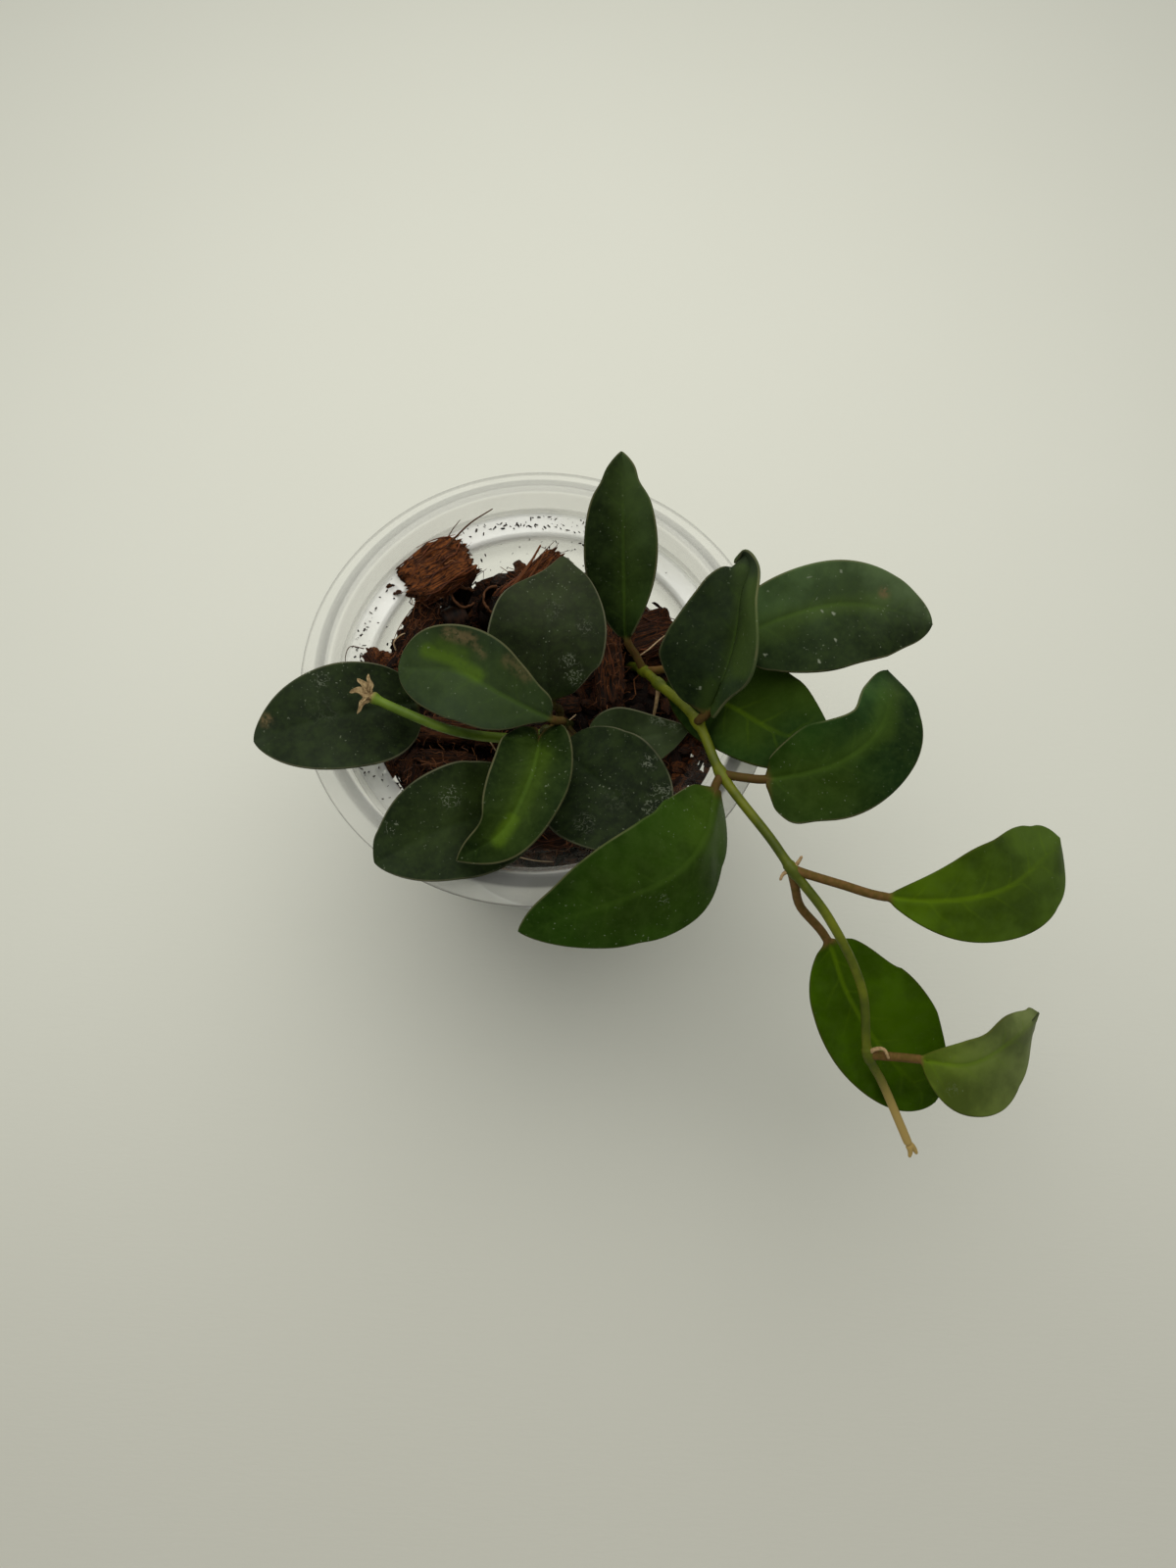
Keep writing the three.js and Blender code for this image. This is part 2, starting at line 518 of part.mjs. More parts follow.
// One ring of points round the leaf, at a share of the path and a share of the blade.
function leafRing(leaf, path, along, share) {
  const middle = path.getPointAt(along);
  const ahead = path.getTangentAt(along);
  const face = vec(leaf.face[0]).lerp(vec(leaf.face[1]), share);
  const up = face.addScaledVector(ahead, -face.dot(ahead)).normalize();
  const right = ahead.clone().cross(up);
  const flat = smooth(share, 0, FLAT_BY);
  const width = outlineShare(share, leaf.heel, leaf.point);
  return SECTION.map(({ across, side, turn }) => {
    const onRight = across > 0;
    const half = (onRight ? leaf.right : leaf.left) * width;
    const reach = Math.abs(across);
    const hand = onRight ? 0 : 1;
    const start = onRight ? WAVE_START.right : WAVE_START.left;
    const rise = lerp(leaf.fold[hand], (leaf.foldTip ?? leaf.fold)[hand], share);
    const fold = radians(rise + (leaf.cup * reach) / 2);
    const slope = radians(rise + leaf.cup * reach) * Math.sign(across);
    const wave = leaf.wave * width * reach ** 2 * Math.sin(WAVES * share + start);
    const thickness = lerp(LEAF_RIB_THICKNESS, LEAF_EDGE_THICKNESS, reach) * lerp(1, 0.85, share);
    const lift = (side / 2) * thickness + wave;
    const bladeX = across * half * Math.cos(fold) - Math.sin(slope) * lift;
    const bladeZ = reach * half * Math.sin(fold) + Math.cos(slope) * lift;
    const x = lerp(STALK_RADIUS * Math.cos(turn), bladeX, flat);
    const z = lerp(STALK_RADIUS * Math.sin(turn), bladeZ, flat);
    return middle.clone().addScaledVector(right, x).addScaledVector(up, z);
  });
}

// ---- bedding ------------------------------------------------------------------

const BED_TOP_RINGS = 7;
const BED_FLOOR = POT_WALL + GAP;
const BED_SHOULDER = BED_EDGE_HEIGHT - 6; // height at which its sides turn over
const ROOM_TOP = 130; // above everything that the pot's room is used to trim
const SMALL_CHIPS = 30;
const SMALL_CHIP_SPREAD = 35;
const GOLDEN_ANGLE = 2.39996;

function bedHeight(x, y) {
  const out = Math.hypot(x, y) / potInside(BED_EDGE_HEIGHT);
  const lumps = Math.sin(0.31 * x + 0.7) * Math.cos(0.27 * y - 0.4) + 0.6 * Math.sin(0.55 * y + 0.2 * x);
  return BED_EDGE_HEIGHT + BED_MOUND * (1 - out ** 2) + BED_LUMPS * lumps + BED_SLOPE * y;
}

function bedGeometry() {
  const ringAt = (radius, height) => {
    const ring = [];
    for (let i = 0; i < BED_SIDES; i++) {
      const turn = (2 * Math.PI * i) / BED_SIDES;
      const x = radius * Math.cos(turn);
      const y = radius * Math.sin(turn);
      ring.push(new THREE.Vector3(x, y, height ?? bedHeight(x, y)));
    }
    return ring;
  };
  const clear = Math.cos(Math.PI / BED_SIDES);
  const wallAt = (height) => (potInside(height) - GAP) * clear - 0.2;
  const rings = [
    ringAt(wallAt(BED_FLOOR) - POT_FOOT_ROUND, BED_FLOOR),
    ringAt(wallAt(BED_FLOOR + POT_FOOT_ROUND), BED_FLOOR + POT_FOOT_ROUND),
    ringAt(wallAt(BED_SHOULDER), BED_SHOULDER),
  ];
  const top = wallAt(BED_SHOULDER);
  for (let r = 0; r < BED_TOP_RINGS; r++) rings.push(ringAt(top * (1 - r / BED_TOP_RINGS)));
  return loft(rings);
}

// Small broken chips, spread evenly over the bedding and sunk halfway into it.
function smallChipGeometry(number) {
  const draw = (k) => chance(number * 13 + k);
  const turn = number * GOLDEN_ANGLE;
  const radius = SMALL_CHIP_SPREAD * Math.sqrt((number + 0.5) / SMALL_CHIPS);
  const x = radius * Math.cos(turn);
  const y = radius * Math.sin(turn);
  const chip = {
    at: [x, y, bedHeight(x, y) + 0.5],
    size: [lerp(6, 11, draw(1)), lerp(3, 5, draw(2)), lerp(2.6, 4, draw(3))],
    turn: 360 * draw(4),
    tip: lerp(-22, 22, draw(5)),
    roll: lerp(-25, 25, draw(6)),
    bend: 0.4,
  };
  return chipGeometry(chip, 40 + number, 0, [1, 1, 1]);
}

// The bedding with its small chips, kept clear of the pot and hollowed for what lies in it.
function filledBedGeometry(hollows) {
  let solid = toSolid(bedGeometry());
  for (let i = 0; i < SMALL_CHIPS; i++) solid = solid.add(toSolid(smallChipGeometry(i)));
  solid = solid.intersect(toSolid(roomGeometry()));
  for (const hollow of hollows) solid = solid.subtract(toSolid(hollow));
  const bodies = solid.decompose().sort((a, b) => b.volume() - a.volume());
  return toGeometry(bodies[0]);
}

// The space inside the pot above its floor, less the gap, with the ledge and collar.
function roomGeometry() {
  const outline = [
    [0, BED_FLOOR],
    [potInside(BED_FLOOR) - GAP, BED_FLOOR],
    [potInside(POT_LEDGE_HEIGHT) - GAP - 0.3, POT_LEDGE_HEIGHT + GAP],
    [POT_COLLAR_RADIUS - POT_WALL - 0.6, POT_LEDGE_HEIGHT + GAP],
    [POT_COLLAR_RADIUS - POT_WALL - 0.6, ROOM_TOP],
    [0, ROOM_TOP],
  ];
  return upright(new THREE.LatheGeometry(outline.map(([x, y]) => new THREE.Vector2(x, y)), POT_SIDES));
}

// ---- assembly -----------------------------------------------------------------

const stemHoles = [VINE, INNER, SIDE].map((stem) => stemGeometry(stem, GAP));
const husk = [
  ...CHIPS.map((chip, i) => ({ ...chip, shape: (grow) => chipGeometry(chip, i + 1, grow) })),
  ...SHELLS.map((shell) => ({ ...shell, shape: (grow) => shellGeometry(shell, grow) })),
];

// Each chip is trimmed by the pot's wall, by the stems and by the chips laid before it.
function trimmedChip(piece, before) {
  let solid = toSolid(piece.shape(0)).intersect(toSolid(roomGeometry()));
  for (const other of [...before, ...stemHoles]) solid = solid.subtract(toSolid(other));
  return toGeometry(solid);
}

place('pot', potGeometry(), clearPlastic);

const hollows = [];
for (const piece of husk) {
  place(piece.name, trimmedChip(piece, hollows), look(piece.color, 0.9));
  hollows.push(piece.shape(GAP));
}
place('husk_bedding', filledBedGeometry([...hollows, ...stemHoles]), look(HUSK_DARK, 0.95));
place('vine_stem', vineGeometry(), look(STEM_GREEN, 0.5));
place('inner_stem', stemGeometry(INNER, 0), look(STEM_GREEN, 0.5));
place('side_stem', stemGeometry(SIDE, 0), look(STEM_GREEN, 0.5));
place('flower_stalk', flowerStalkGeometry(), look(STALK_GREEN, 0.5));
for (const leaf of LEAVES) {
  place(leaf.name, cut(leafGeometry(leaf), stemHoles), look(leaf.color, 0.55));
}

export default plant;
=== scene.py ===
# %% [markdown]
# # A potted hoya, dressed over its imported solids
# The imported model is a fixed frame: everything below is made in its place, in metres,
# with +Z up and the origin in the middle of the pot's underside. The solids are coarse on
# purpose. Here each one gets a finer skin of the same form: a clear pot, torn coconut
# husk, thick waxy leaves and a green vine. Sizes are written in millimetres because that
# is how the plant was measured, and turned into metres when a mesh is made.

# %% Load the frame
import json
import math

import bmesh
import bpy
import numpy as np
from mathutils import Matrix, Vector, noise

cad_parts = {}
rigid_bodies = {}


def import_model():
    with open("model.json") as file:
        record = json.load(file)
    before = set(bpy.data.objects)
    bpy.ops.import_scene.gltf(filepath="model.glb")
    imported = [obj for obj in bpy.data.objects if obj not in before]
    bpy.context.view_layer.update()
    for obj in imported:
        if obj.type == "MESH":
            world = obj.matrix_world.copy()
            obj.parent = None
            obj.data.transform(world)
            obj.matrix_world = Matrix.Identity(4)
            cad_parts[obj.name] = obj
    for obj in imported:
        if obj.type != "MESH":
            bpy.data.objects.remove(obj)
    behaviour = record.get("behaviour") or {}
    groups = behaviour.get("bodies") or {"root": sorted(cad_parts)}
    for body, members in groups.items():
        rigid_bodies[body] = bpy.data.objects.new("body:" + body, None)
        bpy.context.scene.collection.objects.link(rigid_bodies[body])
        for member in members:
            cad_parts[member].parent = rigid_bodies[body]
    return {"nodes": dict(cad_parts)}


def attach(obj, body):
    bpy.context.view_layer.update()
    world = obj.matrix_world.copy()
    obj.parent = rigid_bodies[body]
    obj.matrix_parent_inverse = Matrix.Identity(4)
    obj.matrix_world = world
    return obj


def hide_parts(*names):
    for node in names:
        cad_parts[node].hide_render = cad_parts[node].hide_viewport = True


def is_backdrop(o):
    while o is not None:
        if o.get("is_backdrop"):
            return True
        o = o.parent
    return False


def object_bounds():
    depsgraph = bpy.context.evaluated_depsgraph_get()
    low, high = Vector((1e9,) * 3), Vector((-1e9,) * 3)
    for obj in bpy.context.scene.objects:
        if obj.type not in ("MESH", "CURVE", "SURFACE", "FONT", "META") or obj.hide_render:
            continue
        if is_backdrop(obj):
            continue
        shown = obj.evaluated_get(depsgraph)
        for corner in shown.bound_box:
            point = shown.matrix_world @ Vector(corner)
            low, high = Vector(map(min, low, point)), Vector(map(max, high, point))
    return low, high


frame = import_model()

CAD_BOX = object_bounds()
MM = 0.001
scene = bpy.context.scene
print("solids in the frame:", len(frame["nodes"]))
print("its size in mm:", [round(v / MM, 1) for v in CAD_BOX[1] - CAD_BOX[0]])

# %% [markdown]
# ## The camera
# The photograph looks down at the pot from just in front of it. A camera is known from
# where parallel edges meet and from how much the lip is foreshortened: here that gives a
# wide lens 32 cm above the table, tipped 18.8 degrees away from straight down. The same
# numbers also say which pixel any point lands on, and later cells use that to put marks
# on a leaf where the photograph shows them.

# %% Camera
EYE = np.array([11.6, -102.8, 318.7])  # mm
TIP_FROM_NADIR = math.radians(18.8)
PHOTO_WIDTH, PHOTO_HEIGHT = 1200, 1600
FOCAL_PIXELS = 1100
SENSOR = 36.0

camera = bpy.data.objects.new("camera", bpy.data.cameras.new("camera"))
scene.collection.objects.link(camera)
camera.location = Vector(EYE * MM)
camera.rotation_euler = (TIP_FROM_NADIR, 0, 0)
camera.data.sensor_width = SENSOR
camera.data.lens = SENSOR * FOCAL_PIXELS / PHOTO_HEIGHT
camera.data.clip_start = 0.01
scene.camera = camera

RIGHT = np.array([1, 0, 0])
UP = np.array([0, math.cos(TIP_FROM_NADIR), math.sin(TIP_FROM_NADIR)])
AHEAD = np.array([0, math.sin(TIP_FROM_NADIR), -math.cos(TIP_FROM_NADIR)])


def photo_pixel(points):
    """Where points in millimetres land in the photograph."""
    away = np.asarray(points) - EYE
    depth = away @ AHEAD
    u = PHOTO_WIDTH / 2 + FOCAL_PIXELS * (away @ RIGHT) / depth
    v = PHOTO_HEIGHT / 2 - FOCAL_PIXELS * (away @ UP) / depth
    return np.stack([u, v], axis=-1)


def photo_point(u, v, z):
    """The place at height z, in millimetres, that lands on a pixel."""
    rightwards, upwards = u - PHOTO_WIDTH / 2, PHOTO_HEIGHT / 2 - v
    way = FOCAL_PIXELS * AHEAD + rightwards * RIGHT + upwards * UP
    return EYE + way * (z - EYE[2]) / way[2]


print("lens in mm:", round(camera.data.lens, 2))
print("the middle of the pot's base lands at pixel", photo_pixel([0, 0, 0]).round())

# %% [markdown]
# ## Node trees written as sums
# A finish is a tree of nodes. Wiring Math nodes one by one is slow to read, so a small
# class wraps a socket and overloads the usual operators: `1 - mask * 0.5` adds the two
# Math nodes by itself. Every other node comes from one method, `add`, that takes the
# node's type, its settings and what goes into its sockets. The same pair of classes
# builds the Geometry Nodes trees further down.

# %% Sums on sockets
class Value:
    """What flows out of a socket. Sums on it add Math nodes to its tree."""

    def __init__(self, tree, socket):
        self.tree, self.socket = tree, socket

    def __add__(self, other):
        return self.tree.math("ADD", self, other)

    def __sub__(self, other):
        return self.tree.math("SUBTRACT", self, other)

    def __rsub__(self, other):
        return self.tree.math("SUBTRACT", other, self)

    def __mul__(self, other):
        return self.tree.math("MULTIPLY", self, other)

    def __truediv__(self, other):
        return self.tree.math("DIVIDE", self, other)

    def __pow__(self, other):
        return self.tree.math("POWER", self, other)

    def __abs__(self):
        return self.tree.math("ABSOLUTE", self)

    __radd__, __rmul__ = __add__, __mul__

    def of(self, name):
        """Another output of the node that this came from."""
        return Value(self.tree, self.socket.node.outputs[name])


class Tree:
    """A node tree that is filled by code."""

    def __init__(self, nodes_of):
        self.tree = nodes_of

    def add(self, kind, settings=None, sockets=None, out=0):
        node = self.tree.nodes.new(kind)
        for name, value in (settings or {}).items():
            setattr(node, name, value)
        for name, value in (sockets or {}).items():
            self.feed(node.inputs[name], value)
        return Value(self, node.outputs[out]) if len(node.outputs) else node

    def feed(self, socket, value):
        if isinstance(value, Value):
            self.tree.links.new(value.socket, socket)
        else:
            socket.default_value = value

    def math(self, operation, *terms):
        return self.add("ShaderNodeMath", {"operation": operation}, dict(enumerate(terms)))

    def vector_math(self, operation, *terms, **named):
        return self.add("ShaderNodeVectorMath", {"operation": operation}, {**dict(enumerate(terms)), **named})

    def band(self, value, low, high):
        """0 below low and 1 above high, with a soft step between; low may be the larger."""
        ends = {"Value": value, "From Min": low, "From Max": high}
        return self.add("ShaderNodeMapRange", {"interpolation_type": "SMOOTHSTEP"}, ends)

    def out_from_axis(self, place):
        """How far a place is from the upright axis."""
        return self.vector_math("LENGTH", self.vector_math("MULTIPLY", place, (1, 1, 0))).of("Value")

    def noise(self, scale, detail=3, roughness=0.55, vector=None):
        sockets = {"Scale": scale, "Detail": detail, "Roughness": roughness}
        if vector is not None:
            sockets["Vector"] = vector
        return self.add("ShaderNodeTexNoise", sockets=sockets)


RED_GREEN_BLUE = {"data_type": "RGBA", "clamp_factor": True}


class Finish(Tree):
    """A material: its tree, its Principled surface and the object's own coordinates."""

    def __init__(self, name, **constants):
        self.material = bpy.data.materials.new(name)
        self.material.use_nodes = True
        super().__init__(self.material.node_tree)
        self.surface = self.tree.nodes["Principled BSDF"]
        self.place = self.add("ShaderNodeTexCoord", out="Object")
        for socket, value in constants.items():
            self.surface.inputs[socket.replace("_", " ")].default_value = value

    def noise(self, scale, vector=None, **sizes):
        """Noise with so many features to a metre of the object, or on its own vector."""
        return super().noise(scale, vector=self.place if vector is None else vector, **sizes)

    def height(self):
        """How high a place is, in millimetres."""
        return self.add("ShaderNodeSeparateXYZ", sockets={0: self.place}, out="Z") / MM

    def attribute(self, name, out="Fac"):
        return self.add("ShaderNodeAttribute", {"attribute_name": name}, out=out)

    def mix(self, mask, a, b):
        """Colour a where mask is 0 and b where it is 1."""
        return self.add("ShaderNodeMix", RED_GREEN_BLUE, {0: mask, 6: a, 7: b}, out=2)

    def stretched(self, vector, scale):
        return self.add("ShaderNodeMapping", sockets={"Vector": vector, "Scale": scale})

    def specks(self, scale, above, patches=None):
        """Dust: the peaks of a fine noise, all over or only within patches."""
        dots = self.band(self.noise(scale, detail=1), above, above + 0.04)
        return dots if patches is None else dots * patches

    def finish(self, colour, roughness, alpha=None, height=None, depth=0.0002, strength=0.5):
        """Links the surface's sockets; depth is the bump's height in metres."""
        for name, value in (("Base Color", colour), ("Roughness", roughness), ("Alpha", alpha)):
            if value is not None:
                self.feed(self.surface.inputs[name], value)
        if height is not None:
            relief = {"Height": height, "Distance": depth, "Strength": strength}
            self.feed(self.surface.inputs["Normal"], self.add("ShaderNodeBump", sockets=relief))
        return self.material


def linear(red, green, blue):
    """A colour as picked off the photograph, 0 to 255, as Blender's linear light."""
    shares = [c / 255 for c in (red, green, blue)]
    return (*[c / 12.92 if c <= 0.04045 else ((c + 0.055) / 1.055) ** 2.4 for c in shares], 1)


print("a mid leaf green in linear light:", [round(c, 3) for c in linear(34, 45, 24)])

# %% [markdown]
# ## Making pieces
# A piece's object always sits at the origin, unturned, with its place in its mesh, as the
# solids do. Each one rides on the object's single body, hides the solids that it stands for
# and may be handed its finish. Meshes are built from arrays of points, and what a finish
# needs to know about the surface, such as how far a point is from a leaf's edge, is stored
# on the points as named attributes.

# %% Making pieces
def mesh_object(name, points, faces, attributes=None, smooth=True):
    """A mesh from points in millimetres, with numbers, vectors or colours kept on its points."""
    mesh = bpy.data.meshes.new(name)
    mesh.from_pydata((np.asarray(points) * MM).tolist(), [], faces)
    keep_on_points(mesh, attributes or {})
    mesh.polygons.foreach_set("use_smooth", [smooth] * len(mesh.polygons))
    mesh.validate()
    made = bpy.data.objects.new(name, mesh)
    scene.collection.objects.link(made)
    return made


def keep_on_points(mesh, attributes):
    """Stores numbers, vectors or colours on a mesh's points under their names."""
    for key, values in attributes.items():
        values = np.asarray(values, float)
        kinds = {1: ("FLOAT", "value"), 3: ("FLOAT_VECTOR", "vector"), 4: ("FLOAT_COLOR", "color")}
        kind, field = kinds[1 if values.ndim == 1 else values.shape[1]]
        mesh.attributes.new(key, kind, "POINT").data.foreach_set(field, values.ravel())


def piece(made, slot, *nodes, finish=None):
    """Makes an object a piece of the plant that stands for these solids."""
    if finish is not None:
        made.data.materials.clear()
        made.data.materials.append(finish)
    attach(made, "root")
    if nodes:
        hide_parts(*nodes)
    print(f"{made.name}: {sum(len(p.vertices) - 2 for p in made.data.polygons)} triangles")
    return made


def joined_rings(rings, count, closed=True):
    """Quads between rings of points, each ring with count points."""
    faces = []
    for r in range(rings - 1):
        for i in range(count if closed else count - 1):
            a, b = r * count + i, r * count + (i + 1) % count
            faces.append((a, b, b + count, a + count))
    return faces


def closed_rings(rings, count):
    """Quads between rings of points, and a fan from each end ring to one of two last points."""
    faces = joined_rings(rings, count)
    low, high, last = rings * count, rings * count + 1, (rings - 1) * count
    for i in range(count):
        j = (i + 1) % count
        faces += [(low, j, i), (high, last + i, last + j)]
    return faces


def level_ring(radius, height, count):
    """Points on a level circle round the upright axis."""
    turns = 2 * np.pi * np.arange(count) / count
    return np.stack([radius * np.cos(turns), radius * np.sin(turns), np.full(count, height)], 1)


def joined(name, objects):
    """Several objects' meshes as one."""
    with bpy.context.temp_override(active_object=objects[0], selected_editable_objects=objects):
        bpy.ops.object.join()
    objects[0].name = objects[0].data.name = name
    return objects[0]


def repeatable(seed):
    """Random draws that are the same each run."""
    return np.random.default_rng(seed)


def smoothstep(value, low, high):
    """0 at low and 1 at high, with a soft step between."""
    share = np.clip((np.asarray(value, float) - low) / (high - low), 0, 1)
    return share * share * (3 - 2 * share)


def mesh_arrays(mesh):
    """A mesh's points, in millimetres, and their normals."""
    points = np.zeros(len(mesh.vertices) * 3)
    normals = np.zeros(len(mesh.vertices) * 3)
    mesh.vertices.foreach_get("co", points)
    mesh.vertex_normals.foreach_get("vector", normals)
    return points.reshape(-1, 3) / MM, normals.reshape(-1, 3)


# %% [markdown]
# ## Smooth paths
# Stems, leaf stalks and midribs all follow a smooth curve through a few points. The solids
# use a centripetal Catmull-Rom curve, which passes through every point and never loops
# back, so the finer pieces use the same curve, walked at an even pace.

# %% Smooth paths
SPAN_STEPS = 80
NEARBY = 1e-3  # share of a path's length


class Path:
    """A centripetal Catmull-Rom curve through points, measured along its length."""

    def __init__(self, points):
        points = np.asarray(points, float)
        ends = [2 * points[0] - points[1], *points, 2 * points[-1] - points[-2]]
        dense = []
        for k in range(1, len(ends) - 2):
            before, start, end, after = ends[k - 1 : k + 3]
            gaps = [np.linalg.norm(q - p) ** 0.5 for p, q in ((before, start), (start, end), (end, after))]
            a, b, c = gaps
            lead = (start - before) / a - (end - before) / (a + b) + (end - start) / b
            trail = (end - start) / b - (after - start) / (b + c) + (after - end) / c
            lead, trail = lead * b, trail * b
            t = np.arange(SPAN_STEPS)[:, None] / SPAN_STEPS
            bend = -3 * start + 3 * end - 2 * lead - trail
            twist = 2 * start - 2 * end + lead + trail
            dense.append(start + lead * t + bend * t**2 + twist * t**3)
        self.dense = np.vstack([*dense, points[-1:]])
        steps = np.linalg.norm(np.diff(self.dense, axis=0), axis=1)
        self.far = np.concatenate([[0], np.cumsum(steps)])
        self.length = self.far[-1]

    def share_at(self, number):
        """Share of the length at one of the points that the curve was made from."""
        return self.far[number * SPAN_STEPS] / self.length

    def at(self, shares):
        far = np.clip(shares, 0, 1) * self.length
        return np.stack([np.interp(far, self.far, self.dense[:, k]) for k in range(3)], axis=-1)

    def ahead(self, shares):
        """The direction of the path at these shares of its length."""
        shares = np.asarray(shares)
        way = self.at(np.minimum(shares + NEARBY, 1)) - self.at(np.maximum(shares - NEARBY, 0))
        return way / np.linalg.norm(way, axis=-1, keepdims=True)


print("length of a test path through two points 10 mm apart:", Path([[0, 0, 0], [0, 0, 10]]).length)

# %% [markdown]
# ## The clear pot
# The pot is thin clear plastic, blown into one shell with a rolled sloping lip, an upright
# collar, a ledge that a second pot can stand on, and a ring of drain holes. A profile spun
# about the upright axis gives the shell; its corners are rounded first, because the real
# corners catch thin lines of light. Boolean cutters open the drains.

# %% Pot
WALL = 1.2  # mm, as are the other sizes
BASE_RADIUS, WALL_RADIUS, COLLAR_RADIUS, LIP_RADIUS = 35.5, 41.1, 46.6, 54.0
LEDGE_HEIGHT, LIP_EDGE_HEIGHT, CREST_HEIGHT = 89.0, 93.8, 98.2
FOOT_ROUND = 1.2
GAP = 0.3
POT_SPIN_STEPS, CORNER_STEPS = 192, 4
DRAINS, DRAIN_RADIUS, DRAIN_CIRCLE, DRAIN_STEPS = 8, 3.2, 24.0, 32
DRAIN_CUT = (-2, 4)  # mm, from under the base to above it

POT_OUTLINE = [  # radius, height and how round the corner is
    (BASE_RADIUS - FOOT_ROUND, 0, 0.5),
    (BASE_RADIUS, FOOT_ROUND, 0.5),
    (WALL_RADIUS, LEDGE_HEIGHT - WALL, 0.7),
    (COLLAR_RADIUS, LEDGE_HEIGHT - WALL, 0.8),
    (COLLAR_RADIUS + 0.4, CREST_HEIGHT - 2.4, 0.3),
    (COLLAR_RADIUS + 2.2, CREST_HEIGHT - 2.5, 0.6),
    (LIP_RADIUS - 0.6, LIP_EDGE_HEIGHT - 0.6, 0.3),
    (LIP_RADIUS, LIP_EDGE_HEIGHT, 0.4),
    (LIP_RADIUS - 0.3, LIP_EDGE_HEIGHT + 0.9, 0.4),
    (LIP_RADIUS - 4.6, CREST_HEIGHT - 1.2, 1.2),
    (LIP_RADIUS - 6.5, CREST_HEIGHT, 0.9),
    (COLLAR_RADIUS - 0.6, CREST_HEIGHT - 0.6, 0.8),
    (COLLAR_RADIUS - WALL, LEDGE_HEIGHT + 0.5, 0.3),
    (COLLAR_RADIUS - WALL - 0.5, LEDGE_HEIGHT, 0.3),
    (WALL_RADIUS - 0.5, LEDGE_HEIGHT, 0.4),
    (WALL_RADIUS - WALL, LEDGE_HEIGHT - 0.8, 0.4),
    (BASE_RADIUS - WALL, WALL + FOOT_ROUND, 0.6),
    (BASE_RADIUS - WALL - FOOT_ROUND, WALL, 0.6),
]


def pot_inside(height):
    """Inner radius of the pot's body at a height."""
    share = (np.asarray(height) - FOOT_ROUND) / (LEDGE_HEIGHT - WALL - FOOT_ROUND)
    return BASE_RADIUS + (WALL_RADIUS - BASE_RADIUS) * share - WALL


def rounded(outline):
    """The outline with each corner but its ends cut back by its radius and curved."""
    done = []
    corners = [np.array(p[:2], float) for p in outline]
    for k, corner in enumerate(corners):
        if k in (0, len(corners) - 1):
            done.append(corner)
            continue
        into, out = corners[k - 1] - corner, corners[k + 1] - corner
        reach = [min(outline[k][2], np.linalg.norm(w) * 0.45) for w in (into, out)]
        start = corner + into / np.linalg.norm(into) * reach[0]
        end = corner + out / np.linalg.norm(out) * reach[1]
        for t in np.linspace(0, 1, CORNER_STEPS):
            done.append((1 - t) ** 2 * start + 2 * t * (1 - t) * corner + t * t * end)
    return np.array(done)


def spun(outline, steps):
    """A closed shell from an outline that is turned about the upright axis."""
    rings = [level_ring(radius, height, steps) for radius, height in outline]
    ends = [[0, 0, outline[0][1]], [0, 0, outline[-1][1]]]
    return np.vstack([*rings, ends]), closed_rings(len(outline), steps)


def opened(made, cutters):
    """Cuts the cutters' shape out of an object and bakes the result into its mesh."""
    for cutter in cutters:
        hole = made.modifiers.new("hole", "BOOLEAN")
        hole.operation, hole.solver, hole.object = "DIFFERENCE", "EXACT", cutter
    bake_modifiers(made)
    for cutter in cutters:
        bpy.data.objects.remove(cutter)


def bake_modifiers(made):
    """Replaces an object's mesh by what its modifiers make of it."""
    depsgraph = bpy.context.evaluated_depsgraph_get()
    mesh = bpy.data.meshes.new_from_object(
        made.evaluated_get(depsgraph), preserve_all_data_layers=True, depsgraph=depsgraph)
    made.modifiers.clear()
    made.data = mesh


pot = mesh_object("clear_pot", *spun(rounded(POT_OUTLINE), POT_SPIN_STEPS))
drains = []
for k in range(DRAINS):
    turn = 2 * math.pi * (k + 0.5) / DRAINS
    points, faces = spun([(DRAIN_RADIUS, height) for height in DRAIN_CUT], DRAIN_STEPS)
    points += [DRAIN_CIRCLE * math.cos(turn), DRAIN_CIRCLE * math.sin(turn), 0]
    drains.append(mesh_object(f"drain_{k}", points, faces))
opened(pot, drains)
print("pot's mesh has", len(pot.data.vertices), "points")

# %% [markdown]
# ## Clear plastic
# Clear nursery plastic is not glass: it is a little milky, it carries faint moulding rings
# and it gets hazy with scuffs and dried water. Tracing light through a thin refracting wall
# is slow and noisy, and it would turn the pot's shadow black. So the finish is a glossy
# white that is mostly see-through: more solid where it is seen edge-on, as along the lip,
# and on the ledge, whose white ring is partly settled haze and partly painted light. The
# lip's dark lines and the collar's white are painted shade and painted light. Against husk
# the wall nearly vanishes, as it does all round the body and, in the photograph, at the
# ledge's front and right.

# %% Clear plastic
clear = Finish("clear_plastic", IOR=1.5, Specular_IOR_Level=0.6)
edge_on = clear.add("ShaderNodeLayerWeight", sockets={"Blend": 0.3}, out="Facing")
haze = clear.noise(60, detail=5, roughness=0.6)
scuffs = clear.noise(420, detail=4, vector=clear.stretched(clear.place, (1, 1, 0.15)))
height_up = clear.height()
out_from_axis = clear.out_from_axis(clear.place) / MM
mould_rings = clear.math("SINE", height_up * 2.6)

